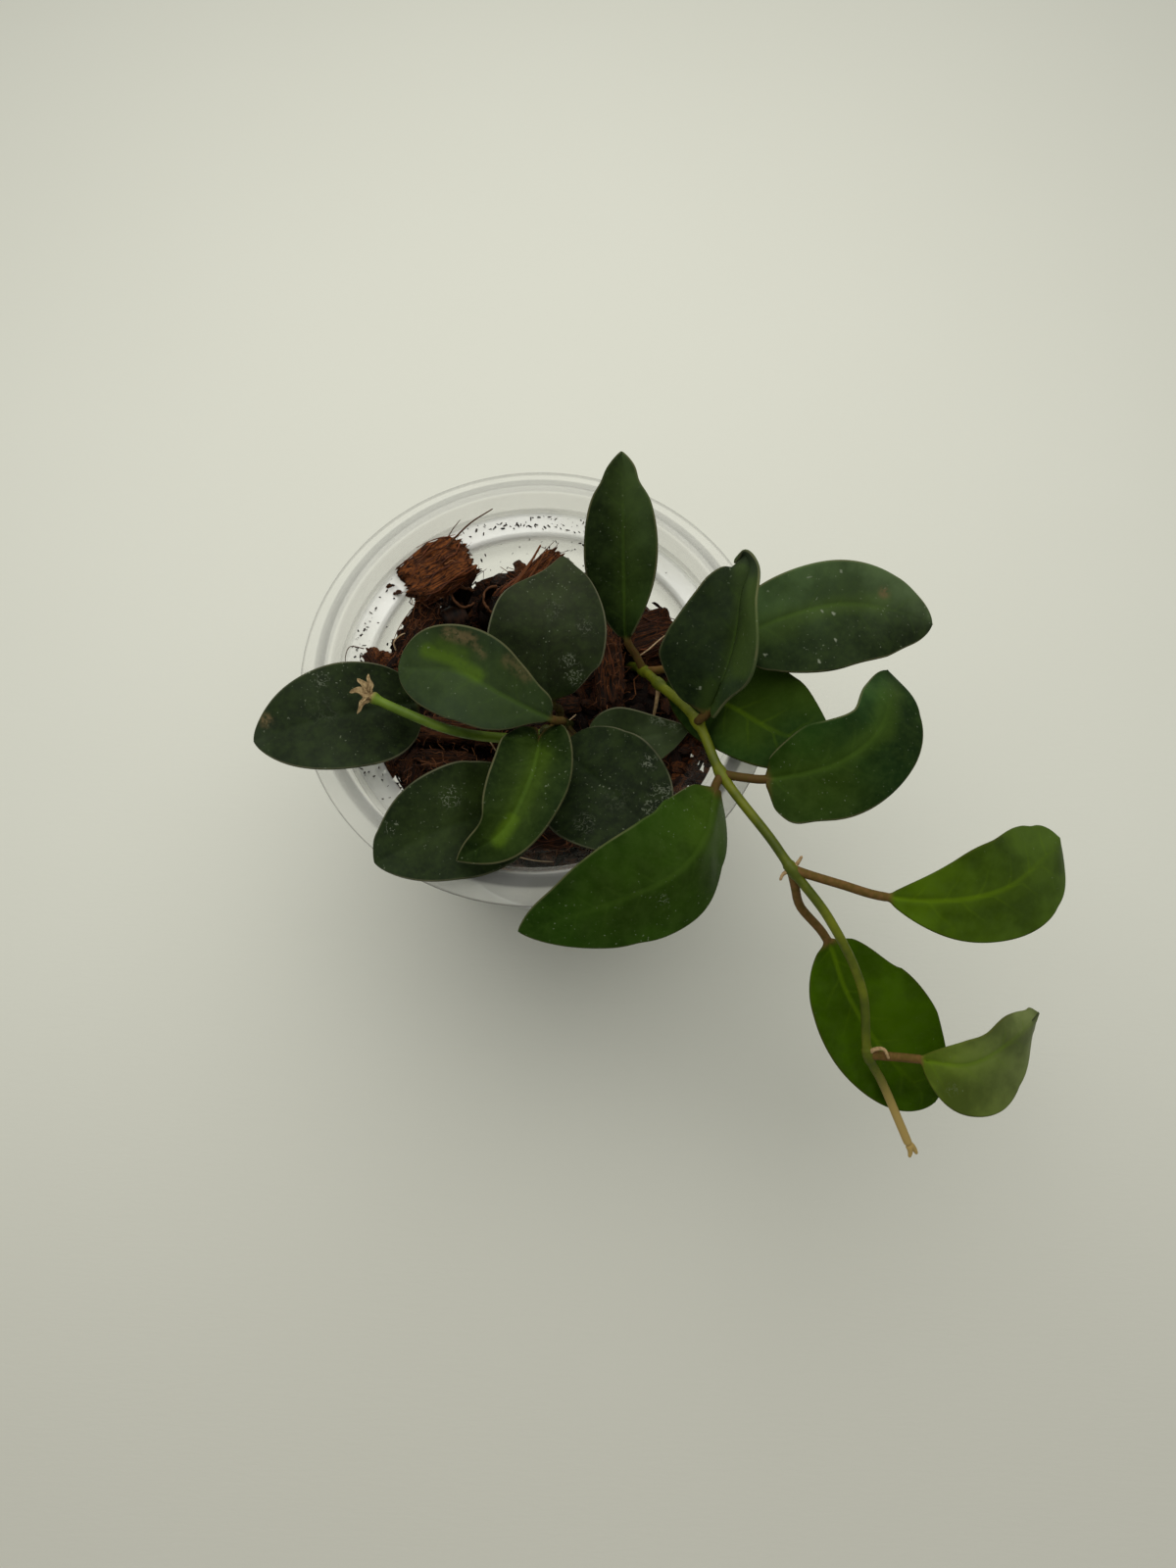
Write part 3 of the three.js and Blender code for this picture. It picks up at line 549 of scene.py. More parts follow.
# Where the shell turns a corner it gathers or loses light, so each part of it has its own look.
lip_edge = clear.band(out_from_axis, LIP_RADIUS - 0.5, LIP_RADIUS - 0.2)
over_top = clear.band(height_up, LEDGE_HEIGHT + 5.5, LEDGE_HEIGHT + 7)
lip = clear.band(out_from_axis, COLLAR_RADIUS + 0.2, COLLAR_RADIUS + 1)
crest = clear.band(out_from_axis, LIP_RADIUS - 3.2, LIP_RADIUS - 4.1)
shoulder = crest * clear.band(out_from_axis, COLLAR_RADIUS + 0.6, COLLAR_RADIUS + 1.3) * over_top
inner_face = clear.band(out_from_axis, COLLAR_RADIUS + 0.8, COLLAR_RADIUS + 0.2)
collar = inner_face * clear.band(height_up, LEDGE_HEIGHT + 0.4, LEDGE_HEIGHT + 1.2)
over_ledge = clear.band(height_up, LEDGE_HEIGHT - 3.5, LEDGE_HEIGHT - 0.8)
on_ledge = clear.band(height_up, LEDGE_HEIGHT + 1.2, LEDGE_HEIGHT + 0.2) * over_ledge

CLEAREST_SIDE = (0.47, -0.88, 0)  # at the front and the right the husk shows through the ledge
outwards = clear.vector_math("NORMALIZE", clear.vector_math("MULTIPLY", clear.place, (1, 1, 0)))
faces_clear = clear.vector_math("DOT_PRODUCT", outwards, CLEAREST_SIDE).of("Value")
wiped = clear.band(faces_clear, 0.45, 0.7)
ledge_haze_and_glint = 0.5 + clear.band(clear.noise(35, detail=2), 0.35, 0.6) * 0.5
ledge = on_ledge * ledge_haze_and_glint * (1 - wiped)
body = clear.band(height_up, LEDGE_HEIGHT - 1, LEDGE_HEIGHT - 3)
over_husk = body * clear.band(height_up, 79, 84) * (1 - wiped)
smudge = clear.attribute("smudge") * clear.band(clear.noise(1600, detail=3), 0.35, 0.6)

tone = clear.mix(clear.band(haze, 0.3, 0.7), linear(240, 240, 230), linear(228, 227, 217))
# Painted light and shade: the dark lines at the lip's edge and shoulder and the collar's white stand in for
# light that the corners lose or gather. The ledge's white is partly settled haze and partly painted light.
# The smudge is dirt.
ZONE_COLOURS = [
    (body, (156, 151, 138)), (collar, (246, 242, 234)), (shoulder, (136, 136, 132)),
    (ledge, (255, 255, 250)), (lip_edge, (132, 131, 126)), (smudge, (90, 70, 50)),
]
for zone, colour in ZONE_COLOURS:
    tone = clear.mix(zone, tone, linear(*colour))
milk = clear.band(haze, 0.5, 0.75) * 0.05 + clear.band(scuffs, 0.6, 0.8) * 0.04
against_husk = clear.band(height_up, LEDGE_HEIGHT, LEDGE_HEIGHT - 4)
see_through = clear.math("MAXIMUM", wiped * (1 - over_top), against_husk)
plain = (0.11 + milk + edge_on**1.8 * 0.22) * (1 - see_through * 0.88)
solid = (plain + over_husk * 0.14 + wiped * lip * 0.4 + collar * 0.02 + shoulder * 0.28
         + ledge * 0.62 + lip_edge * 0.25 + smudge * 0.7)
clear_plastic = clear.finish(
    colour=tone,
    roughness=0.10 + clear.band(haze, 0.4, 0.8) * 0.15 + clear.band(scuffs, 0.6, 0.8) * 0.2,
    alpha=solid,
    height=haze * 0.4 + mould_rings * 0.05 + scuffs * 0.1,
    depth=0.0003,
    strength=0.25,
)
SMUDGE_PIXEL = (313, 685)
pot_points, _ = mesh_arrays(pot.data)
away = np.linalg.norm(photo_pixel(pot_points) - SMUDGE_PIXEL, axis=1)
keep_on_points(pot.data, {"smudge": smoothstep(away, 7, 3) * (pot_points[:, 2] > LIP_EDGE_HEIGHT)})
piece(pot, "clear_plastic", "pot", finish=clear_plastic)

# %% [markdown]
# ## Husk: what it is made of
# The bedding is chopped coconut husk. Each bit is a bundle of stiff fibres, so it tears
# along its length and frays at its ends, and its colour runs in fine streaks along the
# fibres from near black through red-brown to tan. One finish serves all of it. It reads two
# things kept on the points: `grain`, the place inside the bit with x along the fibres, and
# `shade`, one number for each bit. Husk that lies deep in the pot is painted darker: this is
# painted shade, for the light that the lip and the leaves keep out. The smooth
# inner husk of the shells and curls has a glossier finish of its own.

# %% Husk finish
husk = Finish("husk", Specular_IOR_Level=0.25)
grain = husk.attribute("grain", "Vector")
shade = husk.attribute("shade")
streaks = husk.noise(1, detail=6, roughness=0.72, vector=husk.stretched(grain, (70, 1900, 1900)))
strands = husk.noise(1, detail=4, roughness=0.65, vector=husk.stretched(grain, (120, 3400, 3400)))
blotches = husk.noise(1, detail=3, vector=husk.stretched(grain, (420, 420, 420)))
dark_to_red = husk.mix(husk.band(streaks, 0.42, 0.58), linear(9, 4, 2), linear(84, 42, 13))
with_tan = husk.mix(husk.band(strands + shade * 0.14, 0.55, 0.68), dark_to_red, linear(136, 76, 30))
mottled = husk.mix(husk.band(blotches, 0.55, 0.35) * 0.5, with_tan, linear(28, 12, 5))
aged = husk.mix(husk.band(shade, 0.5, 0.0) * 0.8, mottled, linear(22, 10, 5))
# Painted shade: husk low in the pot is darkened towards near black.
painted_depth_shade = husk.band(husk.height(), 90, 77)
husk_finish = husk.finish(
    colour=husk.mix(painted_depth_shade * 0.6, aged, linear(13, 7, 3)),
    roughness=0.62 + strands * 0.3,
    height=streaks * 0.8 + strands * 0.5,
    depth=0.0011,
    strength=1.0,
)

glossy_husk = Finish("glossy_husk", Specular_IOR_Level=0.08)
inner_grain = glossy_husk.stretched(glossy_husk.attribute("grain", "Vector"), (90, 900, 900))
lengthwise = glossy_husk.noise(1, detail=4, vector=inner_grain)
inner_brown = glossy_husk.mix(glossy_husk.band(lengthwise, 0.4, 0.7), linear(9, 5, 3), linear(42, 24, 13))
# A curl is lighter towards its mouth, where its shade number nears 1.
lighter_mouth_ring = glossy_husk.band(glossy_husk.attribute("shade"), 0.75, 1)
glossy_husk_finish = glossy_husk.finish(
    colour=glossy_husk.mix(lighter_mouth_ring, inner_brown, linear(84, 54, 34)),
    roughness=0.42 + lengthwise * 0.3,
    height=lengthwise,
    depth=0.0003,
)
print("nodes in the husk finish:", len(husk.tree.nodes))

# %% [markdown]
# ## The large chips
# Twelve chips are big enough to know one by one, and each has its own solid. The solid's
# own mesh gives the form: a copy of it is welded and remeshed finely, then pushed in and
# out by a noise that is stretched along the chip, which raises fibres, and pulled to ragged
# ends. A chip's fibres run along its longest direction, and that comes from its points.

# %% Large chips
CHIP_VOXEL = 0.34  # mm
# How often the noises that raise and tear fibres repeat in a mm along and across the grain.
COARSE_FIBRES, FINE_FIBRES = [0.07, 0.62, 0.62], [0.12, 1.35, 1.35]
COARSE_TEAR, FINE_TEAR = [0.05, 0.9, 0.9], [0.1, 2.1, 2.1]
LUMPS = 0.33
CHIP_TINTS = {  # from dark to light brown
    "husk_chunk_back_left": 0.8, "husk_plate_left": 0.35, "husk_bundle_back": 0.75,
    "husk_strip_middle": 0.4, "husk_chip_left_edge": 0.45, "husk_chunk_middle": 0.55,
    "husk_chip_right": 0.6, "husk_strip_upper_left": 0.9, "husk_strip_lower_left": 0.7,
    "husk_chip_front_left": 0.5, "husk_chip_front": 0.4, "husk_chip_front_right": 0.45,
}


def welded_copy(node, name):
    """A copy of a solid's mesh, with its loose triangles joined."""
    copy = bpy.data.objects.new(name, frame["nodes"][node].data.copy())
    scene.collection.objects.link(copy)
    tidy = bmesh.new()
    tidy.from_mesh(copy.data)
    bmesh.ops.remove_doubles(tidy, verts=tidy.verts, dist=1e-6)
    tidy.to_mesh(copy.data)
    tidy.free()
    for key in [a.name for a in copy.data.attributes if not a.is_required]:
        copy.data.attributes.remove(copy.data.attributes[key])
    copy.data.materials.clear()
    return copy


def remeshed(made, voxel, soften=2):
    """Gives an object an even fine mesh, with its edges softened."""
    remesh = made.modifiers.new("fine", "REMESH")
    remesh.mode, remesh.voxel_size = "VOXEL", voxel * MM
    soft = made.modifiers.new("soft", "SMOOTH")
    soft.factor, soft.iterations = 0.5, soften
    bake_modifiers(made)


def long_axes(points):
    """Middle of the points and their three main directions, the longest first."""
    middle = (points.max(0) + points.min(0)) / 2
    directions = np.linalg.svd(points - points.mean(0), full_matrices=False)[2]
    directions[2] = np.cross(directions[0], directions[1])
    return middle, directions


def noise_at(points, seed):
    """Smooth noise at each point; each seed gives another noise."""
    return np.array([noise.noise(Vector(p) + Vector((seed, seed * 1.7, -seed))) for p in points])


def inside_pot(points, clearance=0.5):
    """The points, with those in or beyond the pot's wall or collar brought in by a clearance."""
    out = np.maximum(np.hypot(points[:, 0], points[:, 1]), 1e-6)
    height = points[:, 2]
    collar = COLLAR_RADIUS - WALL
    room = np.where(height < LEDGE_HEIGHT, pot_inside(height), collar) - clearance
    pressed = np.where(height < CREST_HEIGHT, np.minimum(room / out, 1), 1)
    return points * np.stack([pressed, pressed, np.ones(len(points))], 1)


def fray(made, seed, shade, relief=0.75, ragged=2.4):
    """Raises fibres along a chip, tears its ends and keeps its grain for the finish."""
    points, normals = mesh_arrays(made.data)
    middle, directions = long_axes(points)
    local = (points - middle) @ directions.T
    half = np.abs(local).max(0)
    ridges = noise_at(local * COARSE_FIBRES, seed) * 0.4 + noise_at(local * FINE_FIBRES, seed + 9) * 0.7
    lumps = noise_at(local * LUMPS, seed + 20)
    across_normal = 1 - np.abs(normals @ directions[0])
    points += normals * ((ridges * relief * (0.35 + 0.65 * across_normal)) + lumps * 0.45)[:, None]
    near_end = smoothstep(np.abs(local[:, 0]) / half[0], 0.62, 0.95)
    tear = noise_at(local * COARSE_TEAR, seed + 31) + 0.7 * noise_at(local * FINE_TEAR, seed + 37)
    tear = tear * near_end * np.sign(local[:, 0])
    broken_off = 0.4 + 3 * np.abs(noise_at(points * 0.45, seed + 43))
    points = inside_pot(points + directions[0] * (tear * ragged)[:, None], broken_off)
    made.data.vertices.foreach_set("co", (points * MM).ravel())
    keep_on_points(made.data, {"grain": local * MM + seed * 0.013, "shade": np.full(len(points), shade)})
    made.data.polygons.foreach_set("use_smooth", [True] * len(made.data.polygons))
    made.data.update()


for number, (node, tint) in enumerate(CHIP_TINTS.items()):
    chip = welded_copy(node, f"torn_{node}")
    remeshed(chip, CHIP_VOXEL)
    fray(chip, seed=number * 3.1, shade=tint)
    piece(chip, "husk_chip", node, finish=husk_finish)

SHELL_VOXEL = 0.3
for number, node in enumerate(["husk_shell_right", "husk_shell_left"]):
    shell = welded_copy(node, f"curled_{node}")
    remeshed(shell, SHELL_VOXEL, soften=3)
    fray(shell, seed=50 + number, shade=0.2, relief=0.12, ragged=0.6)
    piece(shell, "husk_shell", node, finish=glossy_husk_finish)

# %% [markdown]
# ## Curls of inner husk
# Beside the shells stand two strips of dark inner husk that dried into curls, and the
# camera looks straight down into them. A curl is a strip bent round an axis, so its points
# come from a spiral, once for its outer face and once for its inner one.

# %% Curls
CURLS = [  # pixel and height of the foot and of the mouth, radius, how far round it goes
    ((497, 622, 80), (506, 611, 88), 2.9, 320),
    ((468, 622, 79), (474, 606, 87), 2.6, 290),
]
CURL_ROWS, CURL_STEPS, CURL_THICKNESS = 9, 40, 0.45


def curl(name, foot, mouth, radius, degrees, draw):
    """A strip that is bent round an axis and opens a little towards its torn mouth."""
    foot, mouth = photo_point(*foot), photo_point(*mouth)
    axis = (mouth - foot) / np.linalg.norm(mouth - foot)
    side = np.cross(axis, [0.3, 1, 0])
    side /= np.linalg.norm(side)
    other = np.cross(axis, side)
    turns = np.radians(np.linspace(0, degrees, CURL_STEPS) + draw.uniform(0, 360))
    torn = np.cumsum(draw.normal(0, 0.35, CURL_STEPS))
    torn -= np.linspace(torn[0], torn[-1], CURL_STEPS)
    loop = np.concatenate([np.arange(CURL_STEPS), np.arange(CURL_STEPS)[::-1]])
    inward = np.repeat([0, CURL_THICKNESS], CURL_STEPS)
    rings = []
    for row in np.linspace(0, 1, CURL_ROWS):
        out = radius * (0.85 + 0.25 * row + 0.2 * np.linspace(0, 1, CURL_STEPS)[loop]) - inward
        middle = foot + axis * (np.linalg.norm(mouth - foot) * row + torn[loop] * row)[:, None]
        x, y = out * np.cos(turns[loop]), out * np.sin(turns[loop])
        rings.append(middle + side * x[:, None] + other * y[:, None])
    count = 2 * CURL_STEPS
    faces = joined_rings(CURL_ROWS, count)
    last = (CURL_ROWS - 1) * count
    for k in range(CURL_STEPS - 1):
        a, b = k, count - 1 - k
        faces += [(a + 1, a, b, b - 1), (last + a, last + a + 1, last + b - 1, last + b)]
    points = np.vstack(rings)
    grain = (points - foot) @ np.stack([axis, side, other]).T * MM
    paler_mouth = np.repeat(np.linspace(0, 1, CURL_ROWS) ** 2, count)
    return mesh_object(name, points, faces, {"grain": grain, "shade": paler_mouth})


draw = repeatable(77)
curls = [curl(f"curl_{k}", *form, draw) for k, form in enumerate(CURLS)]
piece(joined("dark_curls", curls), "husk_shell", finish=glossy_husk_finish)

# %% [markdown]
# ## A tree that scatters bits over a surface
# Small chips, crumbs and fibres number in the thousands, so no one places them by hand. A
# Geometry Nodes tree drops points on a surface, puts a randomly picked bit on each, turns
# and scales it, and keeps one random number per bit for the finish. Its last step presses
# whatever would pass through the pot flat against the wall, as packed husk really is.
# Particles could do it too, but a node tree gives the same result every run and leaves
# real faces once its instances are realized.

# %% Scatter tree
class Grower(Tree):
    """A Geometry Nodes tree with named inputs that works on an object's mesh."""

    def __init__(self, name, inputs):
        group = bpy.data.node_groups.new(name, "GeometryNodeTree")
        super().__init__(group)
        group.interface.new_socket("Geometry", in_out="INPUT", socket_type="NodeSocketGeometry")
        group.interface.new_socket("Geometry", in_out="OUTPUT", socket_type="NodeSocketGeometry")
        self.sockets = {}
        for key, kind in inputs.items():
            socket = group.interface.new_socket(key, in_out="INPUT", socket_type=f"NodeSocket{kind}")
            self.sockets[key] = socket.identifier
        self.given = group.nodes.new("NodeGroupInput")
        self.result = group.nodes.new("NodeGroupOutput")

    def input(self, name):
        return Value(self, self.given.outputs[name])

    def random(self, low, high, seed, kind="FLOAT"):
        """A random number for each element, between low and high."""
        slots = {"FLOAT": (2, 3, 1), "INT": (4, 5, 2)}[kind]
        sockets = {slots[0]: low, slots[1]: high, "Seed": seed}
        return self.add("FunctionNodeRandomValue", {"data_type": kind}, sockets, out=slots[2])

    def store(self, geometry, name, value, kind="FLOAT", domain="POINT"):
        """Keeps a value under a name on each point or instance."""
        settings = {"data_type": kind, "domain": domain}
        sockets = {"Geometry": geometry, "Name": name, "Value": value}
        return self.add("GeometryNodeStoreNamedAttribute", settings, sockets)

    def named(self, name, kind="FLOAT"):
        """The value that is kept under a name."""
        settings = {"data_type": kind}
        return self.add("GeometryNodeInputNamedAttribute", settings, {"Name": name}, out="Attribute")

    def vector(self, x, y, z):
        return self.add("ShaderNodeCombineXYZ", sockets={0: x, 1: y, 2: z})

    def end(self, geometry, smooth=True):
        """Turns instances into real faces that wear the material which was handed in."""
        whole = self.add("GeometryNodeRealizeInstances", sockets={"Geometry": geometry})
        sockets = {"Geometry": whole, "Shade Smooth": smooth}
        shaded = self.add("GeometryNodeSetShadeSmooth", sockets=sockets)
        sockets = {"Geometry": shaded, "Material": self.input("Material")}
        faced = self.add("GeometryNodeSetMaterial", sockets=sockets)
        self.feed(self.result.inputs["Geometry"], faced)

    def grow(self, made, values):
        """Runs the tree on an object with these inputs and leaves a plain mesh."""
        modifier = made.modifiers.new("grow", "NODES")
        modifier.node_group = self.tree
        for key, value in values.items():
            modifier[self.sockets[key]] = value
        bake_modifiers(made)
        return made


STOUTEST, SLIMMEST = 1.25, 0.7  # a bit's thickness, as a share of its length
AXIS_MARGIN, LOWEST_BIT = 1e-5, 0.0016  # m
scatter = Grower("scatter_bits", {
    "Bits": "Collection", "Density": "Float", "Smallest": "Float", "Largest": "Float",
    "Tilt": "Float", "Wall clearance": "Float", "Seed": "Int", "Kinds": "Int", "Material": "Material",
})
seed = scatter.input("Seed")
sown = scatter.add("GeometryNodeDistributePointsOnFaces", {"distribute_method": "RANDOM"}, {
    "Mesh": scatter.input("Geometry"),
    "Density": scatter.input("Density") * scatter.named("sown"),
    "Seed": seed,
})
tilt = scatter.input("Tilt")
lean = scatter.vector(
    scatter.random(tilt * -1, tilt, seed + 1),
    scatter.random(tilt * -1, tilt, seed + 2),
    scatter.random(0.0, 2 * math.pi, seed + 3),
)
turned = scatter.add("FunctionNodeRotateRotation", {"rotation_space": "LOCAL"}, {
    "Rotation": sown.of("Rotation"),
    "Rotate By": scatter.add("FunctionNodeEulerToRotation", sockets={"Euler": lean}),
})
size = scatter.random(scatter.input("Smallest"), scatter.input("Largest"), seed + 4)
stout = scatter.random(SLIMMEST, STOUTEST, seed + 5)
bits = scatter.add("GeometryNodeCollectionInfo", sockets={
    "Collection": scatter.input("Bits"), "Separate Children": True, "Reset Children": True,
})
placed = scatter.add("GeometryNodeInstanceOnPoints", sockets={
    "Points": sown, "Instance": bits, "Pick Instance": True,
    "Instance Index": scatter.random(0, scatter.input("Kinds") - 1, seed + 6, "INT"),
    "Rotation": turned, "Scale": scatter.vector(size, size * stout, size * stout),
})
tinted = scatter.store(placed, "shade", scatter.random(0.0, 1.0, seed + 7), domain="INSTANCE")
real = scatter.add("GeometryNodeRealizeInstances", sockets={"Geometry": tinted})
offset = scatter.vector_math("SCALE", (0.31, 0.17, 0.23), Scale=scatter.named("shade"))
own_grain = scatter.vector_math("ADD", scatter.named("grain", "FLOAT_VECTOR"), offset)
grained = scatter.store(real, "grain", own_grain, kind="FLOAT_VECTOR")
place = scatter.add("GeometryNodeInputPosition")
parts = scatter.add("ShaderNodeSeparateXYZ", sockets={0: place})
from_axis = scatter.math("MAXIMUM", scatter.out_from_axis(place), AXIS_MARGIN)
wall_slope = (WALL_RADIUS - BASE_RADIUS) / (LEDGE_HEIGHT - WALL - FOOT_ROUND)
wall_at = (parts.of("Z") - FOOT_ROUND * MM) * wall_slope + (BASE_RADIUS - WALL) * MM
room = wall_at - scatter.input("Wall clearance")
pressed = scatter.math("MINIMUM", room / from_axis, 1)
over_floor = scatter.math("MAXIMUM", parts.of("Z"), LOWEST_BIT)
inside = scatter.vector(parts.of("X") * pressed, parts.of("Y") * pressed, over_floor)
moved = scatter.add("GeometryNodeSetPosition", sockets={"Geometry": grained, "Position": inside})
scatter.end(moved, smooth=False)
print("nodes in the scatter tree:", len(scatter.tree.nodes))

# %% [markdown]
# ## The bits that get scattered
# Each bit is drawn once, with a few dozen faces: five torn chips, and four bent fibres that
# are thin three-sided tubes. They wait in a collection that isn't in the scene, so only
# their copies show.

# %% Bits
def collection_of(name, objects):
    """Objects that are kept out of the scene, to be copied by the scatter tree."""
    group = bpy.data.collections.new(name)
    for made in objects:
        scene.collection.objects.unlink(made)
        group.objects.link(made)
    return group


def torn_bit(name, number):
    """A small torn chip, 10 mm long, with a ragged outline."""
    draw = repeatable(300 + number)
    steps, sides = 6, 7
    rings = []
    for k in range(steps):
        share = k / (steps - 1)
        plump = (0.45 + 0.55 * math.sin(math.pi * (0.12 + 0.76 * share))) * draw.uniform(0.85, 1.15)
        for i in range(sides):
            turn = 2 * math.pi * i / sides
            rough = draw.uniform(0.75, 1.2)
            end_rough = draw.uniform(-0.9, 0.9) if k in (0, steps - 1) else 0
            rings.append([
                10 * (share - 0.5) + end_rough,
                2.5 * plump * rough * math.cos(turn),
                1.3 * plump * rough * math.sin(turn) + 0.5 * math.cos(math.pi * (share - 0.5)),
            ])
    points = np.array(rings + [[-4.8, 0, 0], [4.8, 0, 0]])
    faces = [face[::-1] for face in closed_rings(steps, sides)]
    return mesh_object(name, points, faces, {"grain": points * MM}, smooth=False)


def bent_fibre(name, number):
    """A fibre 10 mm long and 0.4 mm thick, with a few random bends."""
    draw = repeatable(400 + number)
    knots = np.stack([np.linspace(-5, 5, 5), draw.normal(0, 1.0, 5), np.abs(draw.normal(0, 0.6, 5))], 1)
    path = Path(knots)
    shares = np.linspace(0, 1, 9)
    middle, ahead = path.at(shares), path.ahead(shares)
    side = np.cross(ahead, [0, 0, 1])
    side /= np.linalg.norm(side, axis=1, keepdims=True)
    above = np.cross(side, ahead)
    rings = []
    for k, share in enumerate(shares):
        radius = 0.2 * (1 - 0.6 * share)
        for i in range(3):
            turn = 2 * math.pi * i / 3
            rings.append(middle[k] + radius * (side[k] * math.cos(turn) + above[k] * math.sin(turn)))
    faces = [face[::-1] for face in joined_rings(len(shares), 3)] + [(0, 1, 2), (26, 25, 24)]
    return mesh_object(name, rings, faces, {"grain": np.array(rings) * MM})


torn_bits = collection_of("torn_bits", [torn_bit(f"bit_{k}", k) for k in range(5)])
fibres = collection_of("fibres", [bent_fibre(f"fibre_{k}", k) for k in range(4)])
for group in (torn_bits, fibres):
    print("faces on one of the", group.name, len(group.objects[0].data.polygons))

# %% [markdown]
# ## The bedding
# The husk fills the pot to between two and three centimetres below the lip, mounded in the
# middle. A dark core carries it: its top follows the same mound and lumps as the solid, and
# its near-black colour is painted shade for the gaps between the chips.
# Chips are sown over the core's top and over its sides, where they show through the wall,
# then crumbs between them. Where the photograph shows torn bits heaped against the wall and
# on the ledge, patches of them are sown at its pixels.

# %% Bedding
BED_EDGE_HEIGHT, BED_MOUND, BED_LUMPS, BED_SLOPE = 69.0, 6.0, 1.3, 0.13
BED_CORE_INSET = 1.5  # mm between the core and the pot's wall, which the chips fill
BED_CORE_SUNK, BED_FLOOR_GAP = 0.8, 0.4  # mm under the bed's top and over the pot's floor
BED_SIDES, BED_RINGS, BED_ROWS = 120, 30, 24
CORE_LUMPS, CORE_SEED, CORE_PUSH = 0.45, 3.3, [0.5, 0.5, 0.8]


def bed_height(x, y):
    """How high the bedding's top is over a place."""
    out = np.hypot(x, y) / pot_inside(BED_EDGE_HEIGHT)
    lumps = np.sin(0.31 * x + 0.7) * np.cos(0.27 * y - 0.4) + 0.6 * np.sin(0.55 * y + 0.2 * x)
    return BED_EDGE_HEIGHT + BED_MOUND * (1 - out**2) + BED_LUMPS * lumps + BED_SLOPE * y


def bed_core(name, top_sown, side_sown):
    """The core's mesh, with how densely each part of it is sown kept on its points."""
    floor_height = WALL + GAP + BED_FLOOR_GAP
    rings, sown_on = [], []
    for z in np.linspace(floor_height, BED_EDGE_HEIGHT - 5, BED_ROWS):
        rings.append(level_ring(pot_inside(z) - GAP - BED_CORE_INSET, z, BED_SIDES))
        sown_on.append(side_sown)
    rim = pot_inside(BED_EDGE_HEIGHT) - GAP - BED_CORE_INSET
    for k in range(BED_RINGS):
        ring = level_ring(rim * (1 - k / BED_RINGS), 0, BED_SIDES)
        ring[:, 2] = bed_height(ring[:, 0], ring[:, 1]) - BED_CORE_SUNK
        rings.append(ring)
        sown_on.append(top_sown if k else max(top_sown, side_sown))
    ends = [[0, 0, floor_height], [0, 0, bed_height(0, 0) - BED_CORE_SUNK]]
    points = np.vstack([*rings, ends])
    points[: -2] += noise_at(points[: -2] * CORE_LUMPS, CORE_SEED)[:, None] * CORE_PUSH
    sown = np.concatenate([np.repeat(sown_on, BED_SIDES), [0, top_sown]])
    # Painted shade: the core's low shade number makes it nearly black where it shows between chips.
    attributes = {"sown": sown, "grain": points * MM * 0.7, "shade": np.full(len(points), 0.12)}
    return mesh_object(name, points, closed_rings(len(rings), BED_SIDES), attributes)


ON_BED, UNDER_LEDGE, ON_LEDGE = 0.35, -2.5, -4.5  # mm between bits and the line of the pot's wall
BITS = {
    "Bits": torn_bits, "Kinds": len(torn_bits.objects), "Wall clearance": ON_BED * MM,
    "Material": husk_finish,
}
side_bits = scatter.grow(bed_core("side_bits", 0, 1), {
    **BITS, "Density": 62000.0, "Smallest": 0.7, "Largest": 1.5, "Tilt": 0.35, "Seed": 11})
core = bed_core("core", 1, 1)
core.data.materials.append(husk_finish)
piece(joined("husk_bedding_fill", [core, side_bits]), "husk_bedding", "husk_bedding")

top_bits = scatter.grow(bed_core("top_bits", 1, 0), {
    **BITS, "Density": 80000.0, "Smallest": 0.45, "Largest": 1.0, "Tilt": 0.7, "Seed": 21})
crumbs = scatter.grow(bed_core("top_crumbs", 1, 0), {
    **BITS, "Density": 180000.0, "Smallest": 0.12, "Largest": 0.34, "Tilt": 1.5, "Seed": 31})


PATCH_STEPS = 12
# corners in pixels, height, longest flake as a share of 10 mm, how far from the wall
PATCHES = [
    ([(440, 632), (442, 596), (492, 592), (500, 632)], 77.5, 0.7, ON_BED),
    ([(352, 700), (362, 640), (400, 640), (404, 700)], 77.5, 0.75, ON_BED),
    ([(366, 812), (366, 770), (410, 760), (400, 830)], 74.0, 0.75, ON_BED),
    ([(510, 606), (530, 580), (560, 576), (535, 616)], 78.5, 0.6, ON_BED),
    ([(668, 640), (676, 606), (700, 620), (700, 660)], 77.5, 0.75, ON_BED),
    ([(688, 812), (692, 744), (721, 744), (728, 806)], 87.0, 0.5, ON_LEDGE),
    ([(698, 800), (700, 748), (724, 748), (728, 800)], 85.6, 0.6, ON_LEDGE),
    ([(696, 796), (698, 754), (722, 754), (726, 796)], 83.0, 0.6, UNDER_LEDGE),
    ([(366, 802), (368, 776), (398, 766), (402, 814)], 84.0, 0.55, UNDER_LEDGE),
    ([(368, 690), (374, 664), (408, 666), (412, 690)], 90.6, 0.5, ON_LEDGE),
    ([(394, 608), (394, 594), (408, 594), (408, 608)], 89.8, 0.3, ON_LEDGE),
    ([(436, 566), (438, 554), (450, 554), (450, 566)], 92.5, 0.35, ON_LEDGE),
]

def torn_patch(name, number, corners, height):
    """A bare sheet over the place that these pixels show, for torn bits to be sown on."""
    steps = np.linspace(0, 1, PATCH_STEPS)
    across, down = np.meshgrid(steps, steps)
    corners = [photo_point(u, v, height) for u, v in corners]
    share = np.stack([(1 - across) * (1 - down), across * (1 - down), across * down, (1 - across) * down], -1)
    points = (share @ np.array(corners)).reshape(-1, 3)
    points[:, 2] += noise_at(points * 0.3, number) * 2.5
    sown = np.full(len(points), 1.0)
    faces = joined_rings(PATCH_STEPS, PATCH_STEPS, closed=False)
    return mesh_object(name, points, faces, {"sown": sown})


